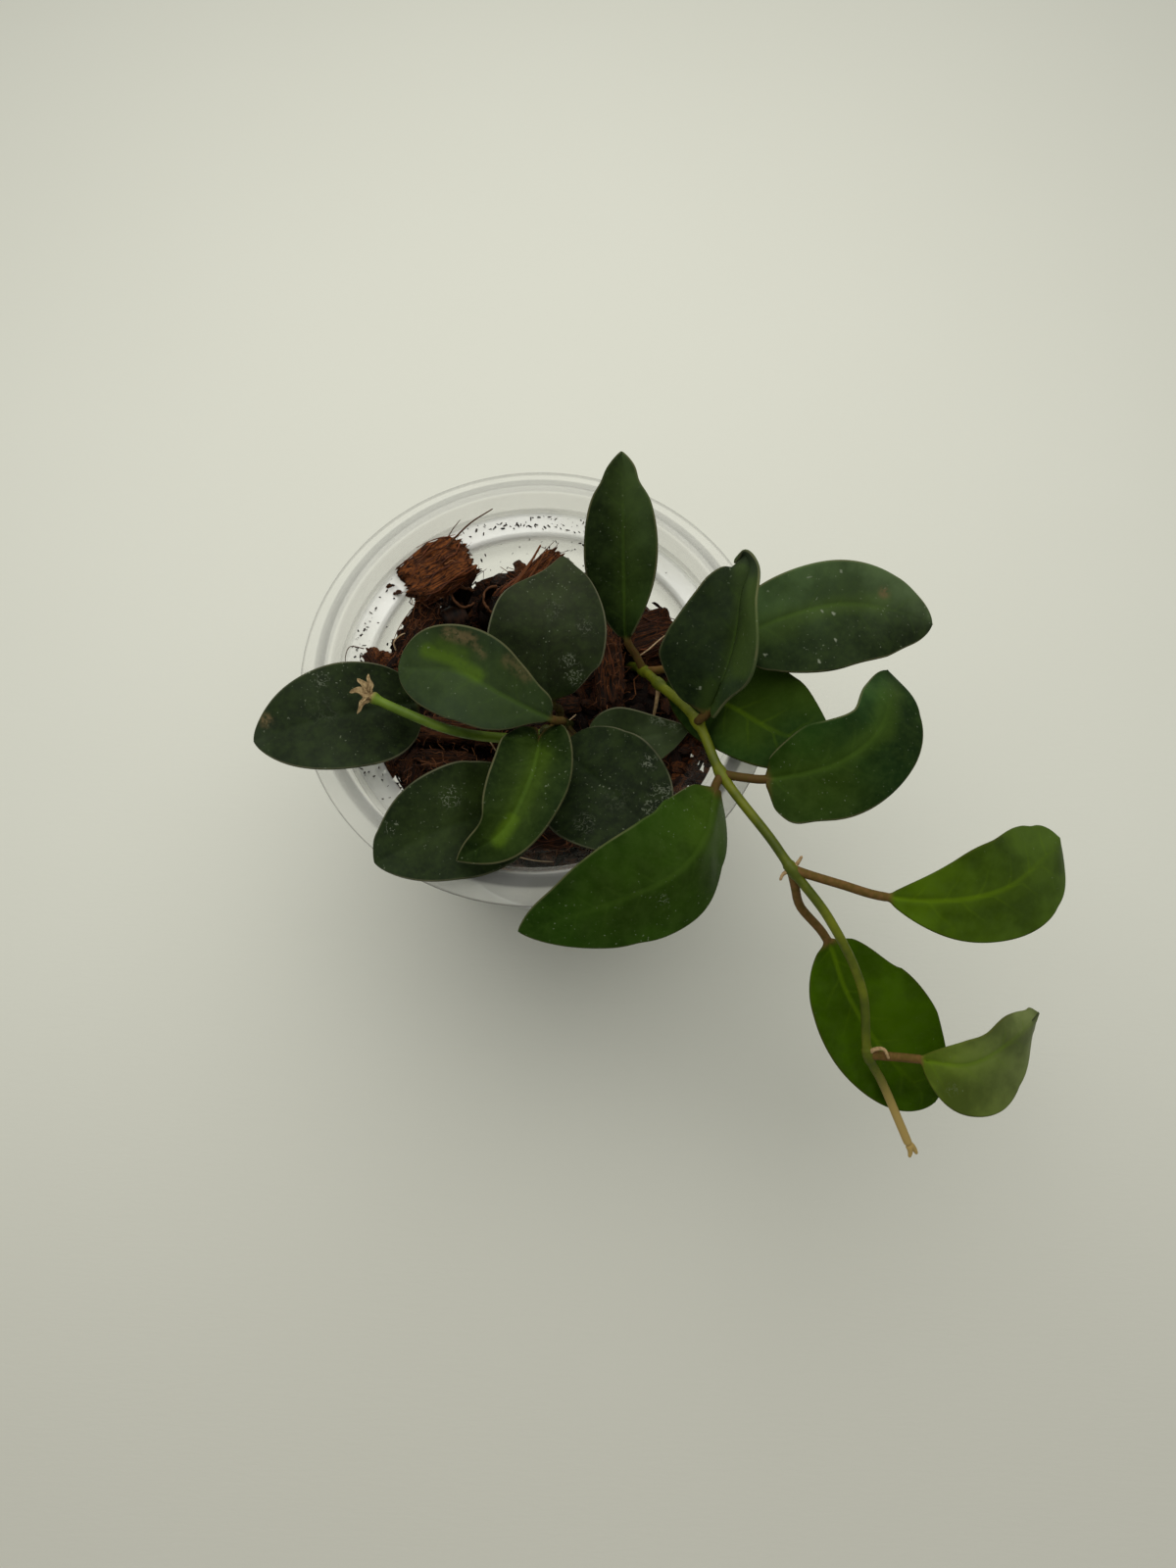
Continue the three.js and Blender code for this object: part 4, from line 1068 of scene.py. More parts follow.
heaps = []
for number, (corners, height, longest, clearance) in enumerate(PATCHES):
    kinds = {"flakes": (260000.0, 0.4 * longest, longest), "crumbs": (430000.0, 0.08, 0.25)}
    for kind, (density, smallest, largest) in kinds.items():
        bare = torn_patch(f"{kind}_{number}", number, corners[::-1], height)
        heaps.append(scatter.grow(bare, {
            **BITS, "Density": density, "Smallest": smallest, "Largest": largest, "Tilt": 0.6,
            "Seed": 130 + number, "Wall clearance": clearance * MM}))
piece(joined("husk_top_bits", [top_bits, crumbs, *heaps]), "husk_bedding", "husk_bedding")

# %% [markdown]
# ## Fibres that stick out
# Torn husk bristles with loose fibres. The same scatter tree sows them, over the bedding
# and over a copy of each large chip, and a lighter finish tells them apart.

# %% Loose fibres
fibre_look = Finish("loose_fibre", Specular_IOR_Level=0.3)
fibre_tone = fibre_look.attribute("shade")
fibre_finish = fibre_look.finish(
    colour=fibre_look.mix(fibre_tone, linear(50, 23, 10), linear(140, 88, 50)),
    roughness=0.5 + fibre_look.noise(400) * 0.3,
)
FIBRES = {
    "Bits": fibres, "Kinds": len(fibres.objects), "Wall clearance": 0.4 * MM,
    "Material": fibre_finish, "Tilt": 0.9,
}


def sown_copy(made, name):
    """A bare copy of an object that fibres can be sown on."""
    copy = bpy.data.objects.new(name, made.data.copy())
    scene.collection.objects.link(copy)
    copy.data.materials.clear()
    keep_on_points(copy.data, {"sown": np.ones(len(copy.data.vertices))})
    return copy


tufts = [scatter.grow(bed_core("bed_fibres", 1, 0), {
    **FIBRES, "Density": 60000.0, "Smallest": 0.3, "Largest": 1.1, "Seed": 41})]
for number, node in enumerate(CHIP_TINTS):
    bare = sown_copy(bpy.data.objects[f"torn_{node}"], f"fibres_{node}")
    tufts.append(scatter.grow(bare, {
        **FIBRES, "Density": 130000.0, "Smallest": 0.2, "Largest": 0.7, "Seed": 60 + number}))
piece(joined("loose_fibres", tufts), "husk_chip")

# %% [markdown]
# ## A tree that makes shoots
# Stems, roots and the flower stalk are all round shoots that follow a path. Each path goes
# in as a chain of points that carry how thick the shoot is there and how dry it is. The
# tree turns the chain into a curve, sweeps a circle along it at that thickness and roughens
# the skin a little. A swept circle keeps its own numbers for the finish, which a bevelled
# curve object would lose.

# %% Shoot tree
shoot_tree = Grower("grow_shoots", {
    "Sides": "Int", "Roughness": "Float", "Roughness scale": "Float", "Material": "Material",
})
spine = shoot_tree.add("GeometryNodeMeshToCurve", sockets={"Mesh": shoot_tree.input("Geometry")})
round_profile = shoot_tree.add("GeometryNodeCurvePrimitiveCircle", sockets={
    "Resolution": shoot_tree.input("Sides"), "Radius": 1.0})
swept = shoot_tree.add("GeometryNodeCurveToMesh", sockets={
    "Curve": spine, "Profile Curve": round_profile, "Scale": shoot_tree.named("thick"), "Fill Caps": True})
swell = shoot_tree.noise(shoot_tree.input("Roughness scale"), detail=3) - 0.5
skin_normal = shoot_tree.add("GeometryNodeInputNormal")
push = shoot_tree.vector_math("SCALE", skin_normal, Scale=swell * shoot_tree.input("Roughness"))
shoot_tree.end(shoot_tree.add("GeometryNodeSetPosition", sockets={"Geometry": swept, "Offset": push}))

SHOOT_STEP = 0.35  # mm between the points along a shoot
SHOOT_LUMPS = 300.0  # to a metre


def shoots(name, routes, material, sides=20, roughness=0.05):
    """Round shoots through points; each route is (points, radius at a share, dryness)."""
    points, edges, thick, dry = [], [], [], []
    for route, radius_at, dryness in routes:
        path = Path(route)
        count = max(8, int(path.length / SHOOT_STEP))
        # Points crowd at the ends, where the shoot is rounded off.
        shares = (1 - np.cos(np.linspace(0, np.pi, count))) / 4 + np.linspace(0, 0.5, count)
        radii = np.array([radius_at(s) for s in shares])
        from_end = np.minimum(shares, 1 - shares) * path.length
        radii *= np.sqrt(np.clip(1 - (1 - np.minimum(from_end / radii, 1)) ** 2, 0.02, 1))
        edges += [(len(points) + k, len(points) + k + 1) for k in range(count - 1)]
        points += list(path.at(shares))
        thick += list(radii * MM)
        dry += list(np.full(count, dryness) if np.isscalar(dryness) else [dryness(s) for s in shares])
    mesh = bpy.data.meshes.new(name)
    mesh.from_pydata((np.array(points) * MM).tolist(), edges, [])
    keep_on_points(mesh, {"thick": thick, "dry": dry})
    made = bpy.data.objects.new(name, mesh)
    scene.collection.objects.link(made)
    return shoot_tree.grow(made, {
        "Sides": sides, "Roughness": roughness * MM, "Roughness scale": SHOOT_LUMPS, "Material": material})


# %% [markdown]
# ## Stem finish
# A young hoya stem is smooth and olive green, brown towards its growing tip, with short
# pale streaks along it; patches of painted light and painted shade make it yellower in
# some places and darker in others. Its aerial roots and the spent scales on its nodes dry
# to a tan paper. The number `dry` kept on each shoot turns the one finish from green to tan.

# %% Stem finish
SHOOT_COLOURS = {  # in the shade, in the light, its streaks, its brown tip, its dry paper
    "green_stem": [(64, 76, 6), (102, 108, 14), (130, 128, 50), (180, 152, 88), (178, 150, 108)],
    # The inner and side stems' colours are darkened with painted shade, as they stand under the leaves.
    "old_stem": [(38, 42, 8), (62, 64, 16), (80, 76, 36), (70, 52, 28), (120, 96, 66)],
    "flower_stalk": [(66, 88, 14), (98, 122, 30), (128, 146, 60), (120, 122, 52), (164, 142, 102)],
    "pale_root": [(190, 160, 120), (200, 175, 140), (210, 190, 150), (180, 150, 110), (206, 178, 140)],
    "dark_fibre": [(44, 24, 14), (60, 34, 20), (72, 44, 26), (54, 30, 17), (66, 38, 22)],
    "husk_strand": [(56, 26, 11), (116, 60, 27), (146, 88, 48), (84, 42, 19), (104, 56, 26)],
}


def shoot_finish(name):
    """The finish of one kind of shoot, with its own five colours."""
    shaded, lit, fleck, tip, paper = [linear(*colour) for colour in SHOOT_COLOURS[name]]
    look = Finish(name, Specular_IOR_Level=0.25)
    dry = look.attribute("dry")
    flecks = look.noise(1500, detail=3)
    patches = look.noise(130, detail=3)
    lengthwise = look.noise(1, detail=3, vector=look.stretched(look.place, (1600, 1600, 160)))
    # Painted light and shade: noise patches blend the colour in the shade with the one in the light.
    lit_and_shaded_patches = look.mix(look.band(patches, 0.3, 0.7), shaded, lit)
    flecked = look.mix(look.band(flecks, 0.62, 0.8) * 0.12, lit_and_shaded_patches, fleck)
    browned = look.mix(look.band(dry, 0.05, 0.5), flecked, tip)
    darker_paper = look.mix(0.5, paper, linear(96, 66, 36))
    papery = look.mix(look.band(lengthwise, 0.35, 0.65), paper, darker_paper)
    return look.finish(
        colour=look.mix(look.band(dry, 0.5, 0.95), browned, papery),
        roughness=0.42 + dry * 0.35 + flecks * 0.15,
        height=flecks * 0.6 + patches * 0.5 + lengthwise * 0.6,
        depth=0.00012,
    )


stem_finish = shoot_finish("green_stem")
print("materials so far:", len(bpy.data.materials))

# %% [markdown]
# ## The stems
# Three stems stand in the husk: the long vine that leans out over the lip and trails down,
# and two short ones. They swell a little at each node, where leaves sit. The routes are
# those of the solids.

# %% Stems
STEM_RADIUS, NODE_RADIUS, NODE_SPREAD = 1.15, 1.55, 1.6
VINE_ROUTE = [
    (20, 17, 60), (22.5, 11, 75), (25, 6, 83), (28, -0.5, 90), (35.5, -14, 100), (40, -27, 102.5),
    (50, -41.5, 102), (54, -47.5, 101), (61.5, -57, 98), (69, -70.5, 91), (71, -83.5, 84),
    (74.5, -89, 80), (81.5, -101.5, 71),
]
VINE_NODES, VINE_TIP = [2, 3, 4, 5, 7, 10], 0.8
INNER_ROUTE = [(9, 1, 60), (7, -4, 74), (6, -7, 81), (4.5, -11.5, 90), (2.5, -16, 99), (2.7, -16.3, 102)]
SIDE_ROUTE = [(-8, 3, 60), (-10, 0, 75), (-12.5, -4, 89)]
ROOTLETS = [
    [(28, -0.5, 90), (27.5, -4, 87.5), (27, -6, 83)],
    [(54, -47.5, 101), (55.2, -46.1, 102.0), (55.9, -45.0, 102.8)],
    [(54, -47.5, 101), (52.2, -48.3, 100.6), (51.5, -49.6, 100.0)],
    [(71, -83.5, 84), (71.8, -82.6, 86.0), (73.6, -82.6, 86.8), (74.7, -84.6, 86.2)],
]
TIP_BUDS = [
    [(81.4, -101.3, 71.1), (81.9, -102.8, 70.3), (81.8, -104.2, 69.5)],
    [(81.4, -101.3, 71.1), (82.7, -102.2, 70.3), (83.5, -103.5, 69.7)],
]


def stem_radius(route, nodes, tip_share=1.0):
    """How thick a stem is at a share of its length, swollen at its nodes."""
    path = Path(route)
    at_nodes = [path.share_at(k) for k in nodes]

    def radius(share):
        away = min(abs(share - at) for at in at_nodes) * path.length
        plain = STEM_RADIUS * (1 + (tip_share - 1) * share)
        ring = 0.12 * math.exp(-(((away - 1.3) / 0.25) ** 2))  # the scar under each leaf pair
        return plain + (NODE_RADIUS - STEM_RADIUS) * math.exp(-((away / NODE_SPREAD) ** 2)) + ring

    return radius


def taper(start, end):
    return lambda share: start + (end - start) * share


def browning(share):
    """The vine is green for most of its length and brown at its growing tip."""
    return 0.46 * smoothstep(share, 0.82, 0.98)


vine = shoots("vine", [
    (VINE_ROUTE, stem_radius(VINE_ROUTE, VINE_NODES, VINE_TIP), browning),
    *[(route, taper(0.55, 0.28), 1.0) for route in ROOTLETS],
    *[(route, taper(0.9, 0.3), 0.55) for route in TIP_BUDS],
], stem_finish)
piece(vine, "stem", "vine_stem")
# Painted shade: the inner and side stems wear the darkened stem colours.
shade_darkened_stem_finish = shoot_finish("old_stem")
inner = shoots("inner_shoot", [(INNER_ROUTE, stem_radius(INNER_ROUTE, [2, 3, 4]), 0.0)], shade_darkened_stem_finish)
piece(inner, "stem", "inner_stem")
side = shoots("side_shoot", [(SIDE_ROUTE, stem_radius(SIDE_ROUTE, [2]), 0.0)], shade_darkened_stem_finish)
piece(side, "stem", "side_stem")

# %% [markdown]
# ## Leaves: form
# A hoya leaf is a thick waxy blade on a round stalk. Each leaf's solid is a loft: rings of
# points round the midrib's curve, round on the stalk and flattening into two faces. The
# finer leaf runs the same rule with ten times the points, so that it keeps the solid's
# form, and adds what the solid leaves out: a sunken midrib, a rounded edge, slight quilting
# between the veins and a fine ripple along the margin.

# %% Leaf table
# stalk: points from the stem to the blade. rib: points along the blade. halves: half widths
# to the right and left, seen from above with the tip ahead. heel, point: how blunt the base
# is and how drawn out the tip. face: which way the upper side looks at base and tip. fold,
# fold_tip: how steeply the right and left halves rise from the rib, in degrees. cup: how
# much steeper their edges are. wave: height of the edge's wave.
LEAVES = {
    "leaf_01_back": dict(stalk=[VINE_ROUTE[2], (23, 9, 85.5)],
        rib=[(21, 11, 88.5), (20, 20.5, 97), (19.5, 32, 108), (19, 43.5, 117)],
        halves=(8.4, 9.5), heel=0.85, point=0.78, face=[(-0.2, -0.6, 1), (0.2, -0.6, 0.8)],
        fold=(22, 10), cup=8, wave=0.4),
    "leaf_02_middle_back": dict(stalk=[INNER_ROUTE[3], (5.2, -8.5, 93)],
        rib=[(3.5, -8.5, 98), (2, -3, 103.5), (3, 5, 108), (6, 22.5, 108)],
        halves=(13, 13), heel=0.55, point=0.75, face=[(0, -0.8, 1), (0, -0.1, 1)],
        fold=(6, 6), cup=8, wave=0.7),
    "leaf_03_middle_left": dict(stalk=[INNER_ROUTE[4], (6, -14.8, 101.8)],
        rib=[(4, -16.5, 107.5), (-6.5, -13, 113), (-15, -9, 115), (-28, -7, 113)],
        halves=(9.8, 10), heel=0.85, point=0.55, face=[(0, -0.4, 1), (-0.2, -0.3, 1)],
        fold=(10, 4), cup=6, wave=0.4),
    "leaf_04_left": dict(stalk=[SIDE_ROUTE[2], (-18.5, -7, 95)],
        rib=[(-25.5, -9, 99), (-34, -12.5, 103), (-44.5, -16, 106), (-59, -21, 106)],
        halves=(11.5, 12.5), heel=0.5, point=0.66, face=[(0, -0.2, 1), (-0.1, -0.2, 1)],
        fold=(6, 6), cup=6, wave=0.5),
    "leaf_05_front_left": dict(stalk=[INNER_ROUTE[2], (2.8, -11.2, 81.2), (0.8, -20, 87)],
        rib=[(0, -28, 95), (-9, -35, 99.5), (-19.5, -40, 103), (-32.5, -46.5, 103)],
        halves=(13, 12), heel=0.6, point=0.7, face=[(0, -0.3, 1), (0, -0.2, 1)],
        fold=(6, 6), cup=8, wave=0.5),
    "leaf_06_front_middle": dict(stalk=[INNER_ROUTE[3], (7.4, -14.4, 91.6)],
        rib=[(6.5, -19, 95), (11.5, -25.5, 98.5), (18.5, -33, 101), (26, -41.5, 102)],
        halves=(14.5, 13.5), heel=0.5, point=0.55, face=[(0, -0.2, 1), (0, -0.1, 1)],
        fold=(6, 6), cup=8, wave=0.5),
    "leaf_07_front_striped": dict(stalk=[INNER_ROUTE[4], (1.2, -18.9, 100.4)],
        rib=[(1, -20.5, 104), (1, -25, 108.5), (-0.5, -32, 111), (-5.5, -42, 111), (-15, -47.5, 108)],
        halves=(8.5, 8.5), heel=0.5, point=0.85, face=[(0, -0.3, 1), (0, -0.3, 1)],
        fold=(10, 14), cup=6, wave=0.4),
    "leaf_08_middle_small": dict(stalk=[INNER_ROUTE[2], (8.6, -11, 83.2)],
        rib=[(11, -16, 86.5), (18, -14.4, 89), (26.5, -13.4, 90.2), (35.3, -10.8, 88.2)],
        halves=(7.5, 6.5), heel=0.6, point=1.0, face=[(0, -0.3, 1), (0, -0.2, 1)],
        fold=(5, 8), cup=6, wave=0.3),
    "leaf_09_front_large": dict(stalk=[VINE_ROUTE[5], (38.6, -29.6, 103.4)],
        rib=[(38, -31.5, 104.5), (35.5, -42, 109), (29, -51, 112), (18, -56, 111), (-2.5, -61, 104)],
        halves=(13, 12), heel=0.55, point=0.8, face=[(0.1, -0.3, 1), (-0.1, -0.5, 1)],
        fold=(8, -58), fold_tip=(6, 6), cup=6, wave=0.7),
    "leaf_10_curled_tip": dict(stalk=[VINE_ROUTE[4], (35.8, -14.6, 103)],
        rib=[(37.5, -13.5, 105.5), (40.5, -8.5, 112), (42, -2.5, 119), (43, 4, 124),
             (44.5, 9, 126.5), (43.5, 12, 126.5), (41.5, 11, 124.5)],
        halves=(12, 15), heel=0.6, point=1.25, face=[(-0.3, -0.9, 0.8), (-0.2, -0.7, 0.9)],
        fold=(62, 8), cup=4, wave=0.4),
    "leaf_11_right_large": dict(stalk=[VINE_ROUTE[4], (40, -9.8, 101.4)],
        rib=[(41.5, -0.5, 109), (47.5, 2.5, 112), (64, 6.5, 115), (75.5, 6.5, 113), (86, 5, 109)],
        halves=(14, 9.5), heel=0.55, point=0.65, face=[(0, -0.2, 1), (0, -0.2, 1)],
        fold=(4, 14), cup=6, wave=0.5),
    "leaf_12_right_lower": dict(stalk=[VINE_ROUTE[2], (27.6, 5, 85.6)],
        rib=[(30.5, 4, 88), (38, -4.5, 93.5), (44, -11.5, 101), (52, -18, 103.8), (63.5, -22, 104)],
        halves=(10, 13), heel=0.6, point=0.6, face=[(-0.3, 0, 1), (-0.2, -0.2, 1)],
        fold=(-12, 4), fold_tip=(6, 4), cup=6, wave=0.4),
    "leaf_13_curved": dict(stalk=[VINE_ROUTE[5], (44.5, -28.2, 103.8)],
        rib=[(49, -29, 105), (62.5, -27.5, 110), (70.5, -22, 112), (74.5, -13.5, 111), (75.5, -5.5, 108)],
        halves=(11.5, 9.2), heel=0.45, point=0.62, face=[(0, -0.2, 1), (0, -0.2, 1)],
        fold=(4, 10), fold_tip=(-30, 14), cup=8, wave=0.7),
    "leaf_14_far_right": dict(stalk=[VINE_ROUTE[7], (63.5, -50.5, 101)],
        rib=[(73, -53, 100), (87.5, -54, 102), (97.5, -51.5, 102), (105.5, -46, 100), (112, -39.5, 97)],
        halves=(11.5, 9.5), heel=0.85, point=0.45, face=[(0, -0.2, 1), (-0.2, -0.2, 1)],
        fold=(4, 12), fold_tip=(-40, 12), cup=6, wave=0.6),
    "leaf_15_hanging": dict(stalk=[VINE_ROUTE[7], (55, -50.5, 98), (56.5, -53.5, 94)],
        rib=[(63, -59.5, 88), (67.5, -71, 84), (76.5, -83, 77.5), (88, -92.5, 71)],
        halves=(10.2, 15), heel=0.6, point=0.55, face=[(0, -0.1, 1), (0.1, -0.3, 1)],
        fold=(4, 4), cup=6, wave=0.5),
    "leaf_16_vine_end": dict(stalk=[VINE_ROUTE[10], (76, -84, 85)],
        rib=[(81, -84.5, 85.5), (90.5, -85.5, 87), (100.5, -81, 86), (108.5, -74.5, 83)],
        halves=(12.5, 6), heel=0.85, point=0.8, face=[(0, -0.2, 1), (-0.2, -0.1, 1)],
        fold=(6, 20), fold_tip=(-65, 20), cup=6, wave=0.5),
}
print("leaves in the table:", len(LEAVES))

# %% Leaf skin
STALK_RADIUS = 0.95
RIB_THICKNESS, EDGE_THICKNESS = 1.4, 0.7
STALK_RINGS, BLADE_RINGS, FACE_POINTS = 14, 100, 41
WAVES, WAVE_START = 9, (1.0, 3.4)
FLAT_BY = 0.05  # share of the blade by which it is no longer round
EDGE_ROUND = 0.38  # mm over which a blade's edge is rounded
VEIN_SPACING = 6.5  # mm
# How far the blade's two sides reach back past the end of the stalk, in mm.
BASE_LOBES = {
    "leaf_06_front_middle": 3.0, "leaf_07_front_striped": 4.4, "leaf_09_front_large": 1.6,
    "leaf_10_curled_tip": 2.2, "leaf_13_curved": 0.8,
}
LOBE_ROUND = 1.2  # mm
LOBE_START, LOBE_SPREAD = 0.015, 0.14  # shares of the blade
# Where an edge turns in or bulges out: side, share of the blade, spread, share of its width.
EDGE_TURNS = {
    "leaf_01_back": [("right", 0.86, 0.06, -0.2), ("left", 0.86, 0.05, -0.1)],
    "leaf_02_middle_back": [("left", 0.95, 0.2, -0.52), ("right", 0.95, 0.05, -0.15)],
    "leaf_03_middle_left": [("right", 0.04, 0.09, 0.55), ("left", 0.08, 0.1, -0.3)],
    "leaf_05_front_left": [("right", 0.96, 0.04, 0.15)],
    "leaf_07_front_striped": [("right", 0.78, 0.12, -0.16), ("right", 0.12, 0.12, 0.15)],
    "leaf_08_middle_small": [("left", 0.3, 0.2, 0.2), ("left", 0.75, 0.15, -0.1)],
    "leaf_09_front_large": [
        ("right", 0.30, 0.07, -0.05), ("right", 0.84, 0.08, -0.08), ("left", 0.62, 0.05, -0.03)],
    "leaf_10_curled_tip": [("right", 0.1, 0.2, -0.55)],
    "leaf_11_right_large": [("left", 0.88, 0.07, -0.06), ("right", 0.88, 0.06, -0.04)],
    "leaf_12_right_lower": [("left", 0.82, 0.12, 0.14)],
    "leaf_13_curved": [("left", 0.62, 0.15, -0.16), ("left", 0.25, 0.13, 0.12), ("right", 0.1, 0.07, 0.2)],
    "leaf_14_far_right": [("left", 0.42, 0.2, 0.2), ("left", 0.92, 0.03, -0.07)],
    "leaf_16_vine_end": [
        ("left", 0.5, 0.14, -0.16), ("right", 0.4, 0.25, 0.1), ("left", 0.97, 0.03, 0.6),
        ("right", 0.97, 0.03, 0.6)],
}


def outline_share(share, heel, point):
    """A blade's half width along its rib, as a share of its widest."""
    widest = heel / (heel + point)
    peak = widest**heel * (1 - widest) ** point
    return share**heel * (1 - share) ** point / peak


def leaf_skin(leaf, seed, node=None):
    """Points, faces and what the finish needs to know, for one leaf."""
    route = [*leaf["stalk"], *leaf["rib"]]
    path = Path(route)
    base = path.share_at(len(leaf["stalk"]))
    blade_length = (1 - base) * path.length
    on_blade = np.linspace(0, 1, BLADE_RINGS + 1)
    blade = (1 - np.cos(np.pi * on_blade**0.9)) / 2
    share = np.concatenate([np.zeros(STALK_RINGS), blade])[:, None]
    along = np.concatenate([np.linspace(0, base, STALK_RINGS, endpoint=False), base + (1 - base) * blade])
    middle, ahead = path.at(along)[:, None], path.ahead(along)[:, None]
    face = np.array(leaf["face"][0]) * (1 - share) + np.array(leaf["face"][1]) * share
    face = face[:, None] - (face[:, None] * ahead).sum(-1, keepdims=True) * ahead
    up = face / np.linalg.norm(face, axis=-1, keepdims=True)
    right = np.cross(ahead, up)

    spread = np.linspace(-1, 1, FACE_POINTS)
    spread = 0.8 * np.sin(spread * np.pi / 2) + 0.2 * spread
    across = np.concatenate([spread, spread[-2:0:-1]])[None]
    top = np.concatenate([np.ones(FACE_POINTS), -np.ones(FACE_POINTS - 2)])[None]
    turn = np.pi * (1 - 2 * np.arange(len(across[0])) / len(across[0]))[None]
    on_right = across > 0
    flat = smoothstep(share, 0, FLAT_BY)
    width = outline_share(np.minimum(share, 0.9999), leaf["heel"], leaf["point"])
    ripple = 1 + 0.004 * np.sin(19 * share + 2 * on_right + seed)
    for side, at, spread_along, gain in EDGE_TURNS.get(node, []):
        on_side = on_right == (side == "right")
        ripple = ripple + on_side * gain * np.exp(-(((share - at) / spread_along) ** 2))
    half = np.where(on_right, *leaf["halves"]) * width * ripple
    reach = np.abs(across)
    fold_tip = leaf.get("fold_tip", leaf["fold"])
    rise = np.where(on_right, leaf["fold"][0] + (fold_tip[0] - leaf["fold"][0]) * share,
                    leaf["fold"][1] + (fold_tip[1] - leaf["fold"][1]) * share)
    fold = np.radians(rise + leaf["cup"] * reach / 2)
    slope = np.radians(rise + leaf["cup"] * reach) * np.sign(across)
    wave = leaf["wave"] * width * reach**2 * np.sin(WAVES * share + np.where(on_right, *WAVE_START))

    rim = (1 - reach) * half
    rib = reach * half
    vein = (share * blade_length - rib * 0.75) / VEIN_SPACING + np.where(on_right, 0.0, 0.45)
    quilt = 0.035 * np.cos(2 * np.pi * vein) * smoothstep(rib, 0.8, 3) * smoothstep(rim, 0, 3)
    dips = np.sin(share * blade_length * 0.3 + across * 2.2 + seed * 2)
    quilt = quilt + 0.18 * dips * smoothstep(rim, 0, 4)
    thickness = RIB_THICKNESS + (EDGE_THICKNESS - RIB_THICKNESS) * reach
    thickness = thickness * (1 - 0.15 * share)
    rounding = np.sqrt(np.clip(1 - (1 - np.minimum(rim / EDGE_ROUND, 1)) ** 2, 0, 1))
    groove = np.where(top > 0, -0.30 * np.exp(-((rib / 0.7) ** 2)), -0.35 * np.exp(-((rib / 0.8) ** 2)))
    lift = top * thickness / 2 * rounding + wave + groove * (1 - 0.7 * share) + quilt
    blade_x = across * half * np.cos(fold) - np.sin(slope) * lift
    blade_z = rib * np.sin(fold) + np.cos(slope) * lift
    stalk_radius = STALK_RADIUS * (1 + 0.18 * np.exp(-(((along / base)[:, None] / 0.12) ** 2)))
    x = stalk_radius * np.cos(turn) * (1 - flat) + blade_x * flat
    z = stalk_radius * np.sin(turn) * (1 - flat) + blade_z * flat
    lobe = BASE_LOBES.get(node, 0) * (1 - np.exp(-rib / LOBE_ROUND))
    lobe = lobe * np.exp(-((share / LOBE_SPREAD) ** 2)) * smoothstep(share, 0, LOBE_START)
    backwards = -path.ahead([base + 0.3 * (1 - base)])[0]
    points = middle + right * x[..., None] + up * z[..., None] + backwards * lobe[..., None]
    faces = closed_rings(*points.shape[:2])
    points = np.vstack([points.reshape(-1, 3), points[0].mean(0), points[-1].mean(0)])

    def kept(values):
        """One number for each point, and for the two points that close the ends."""
        values = np.broadcast_to(values, x.shape).ravel()
        return np.append(values, [values[0], values[-1]])

    return points, faces, {
        "share": kept(share), "rim": kept(rim * flat + 3 * (1 - flat)), "rib": kept(rib),
        "vein": kept(vein), "stalk": kept(1 - smoothstep(share, 0.005, 0.05)), "upper": kept(top > 0),
        "across": kept(across),
    }
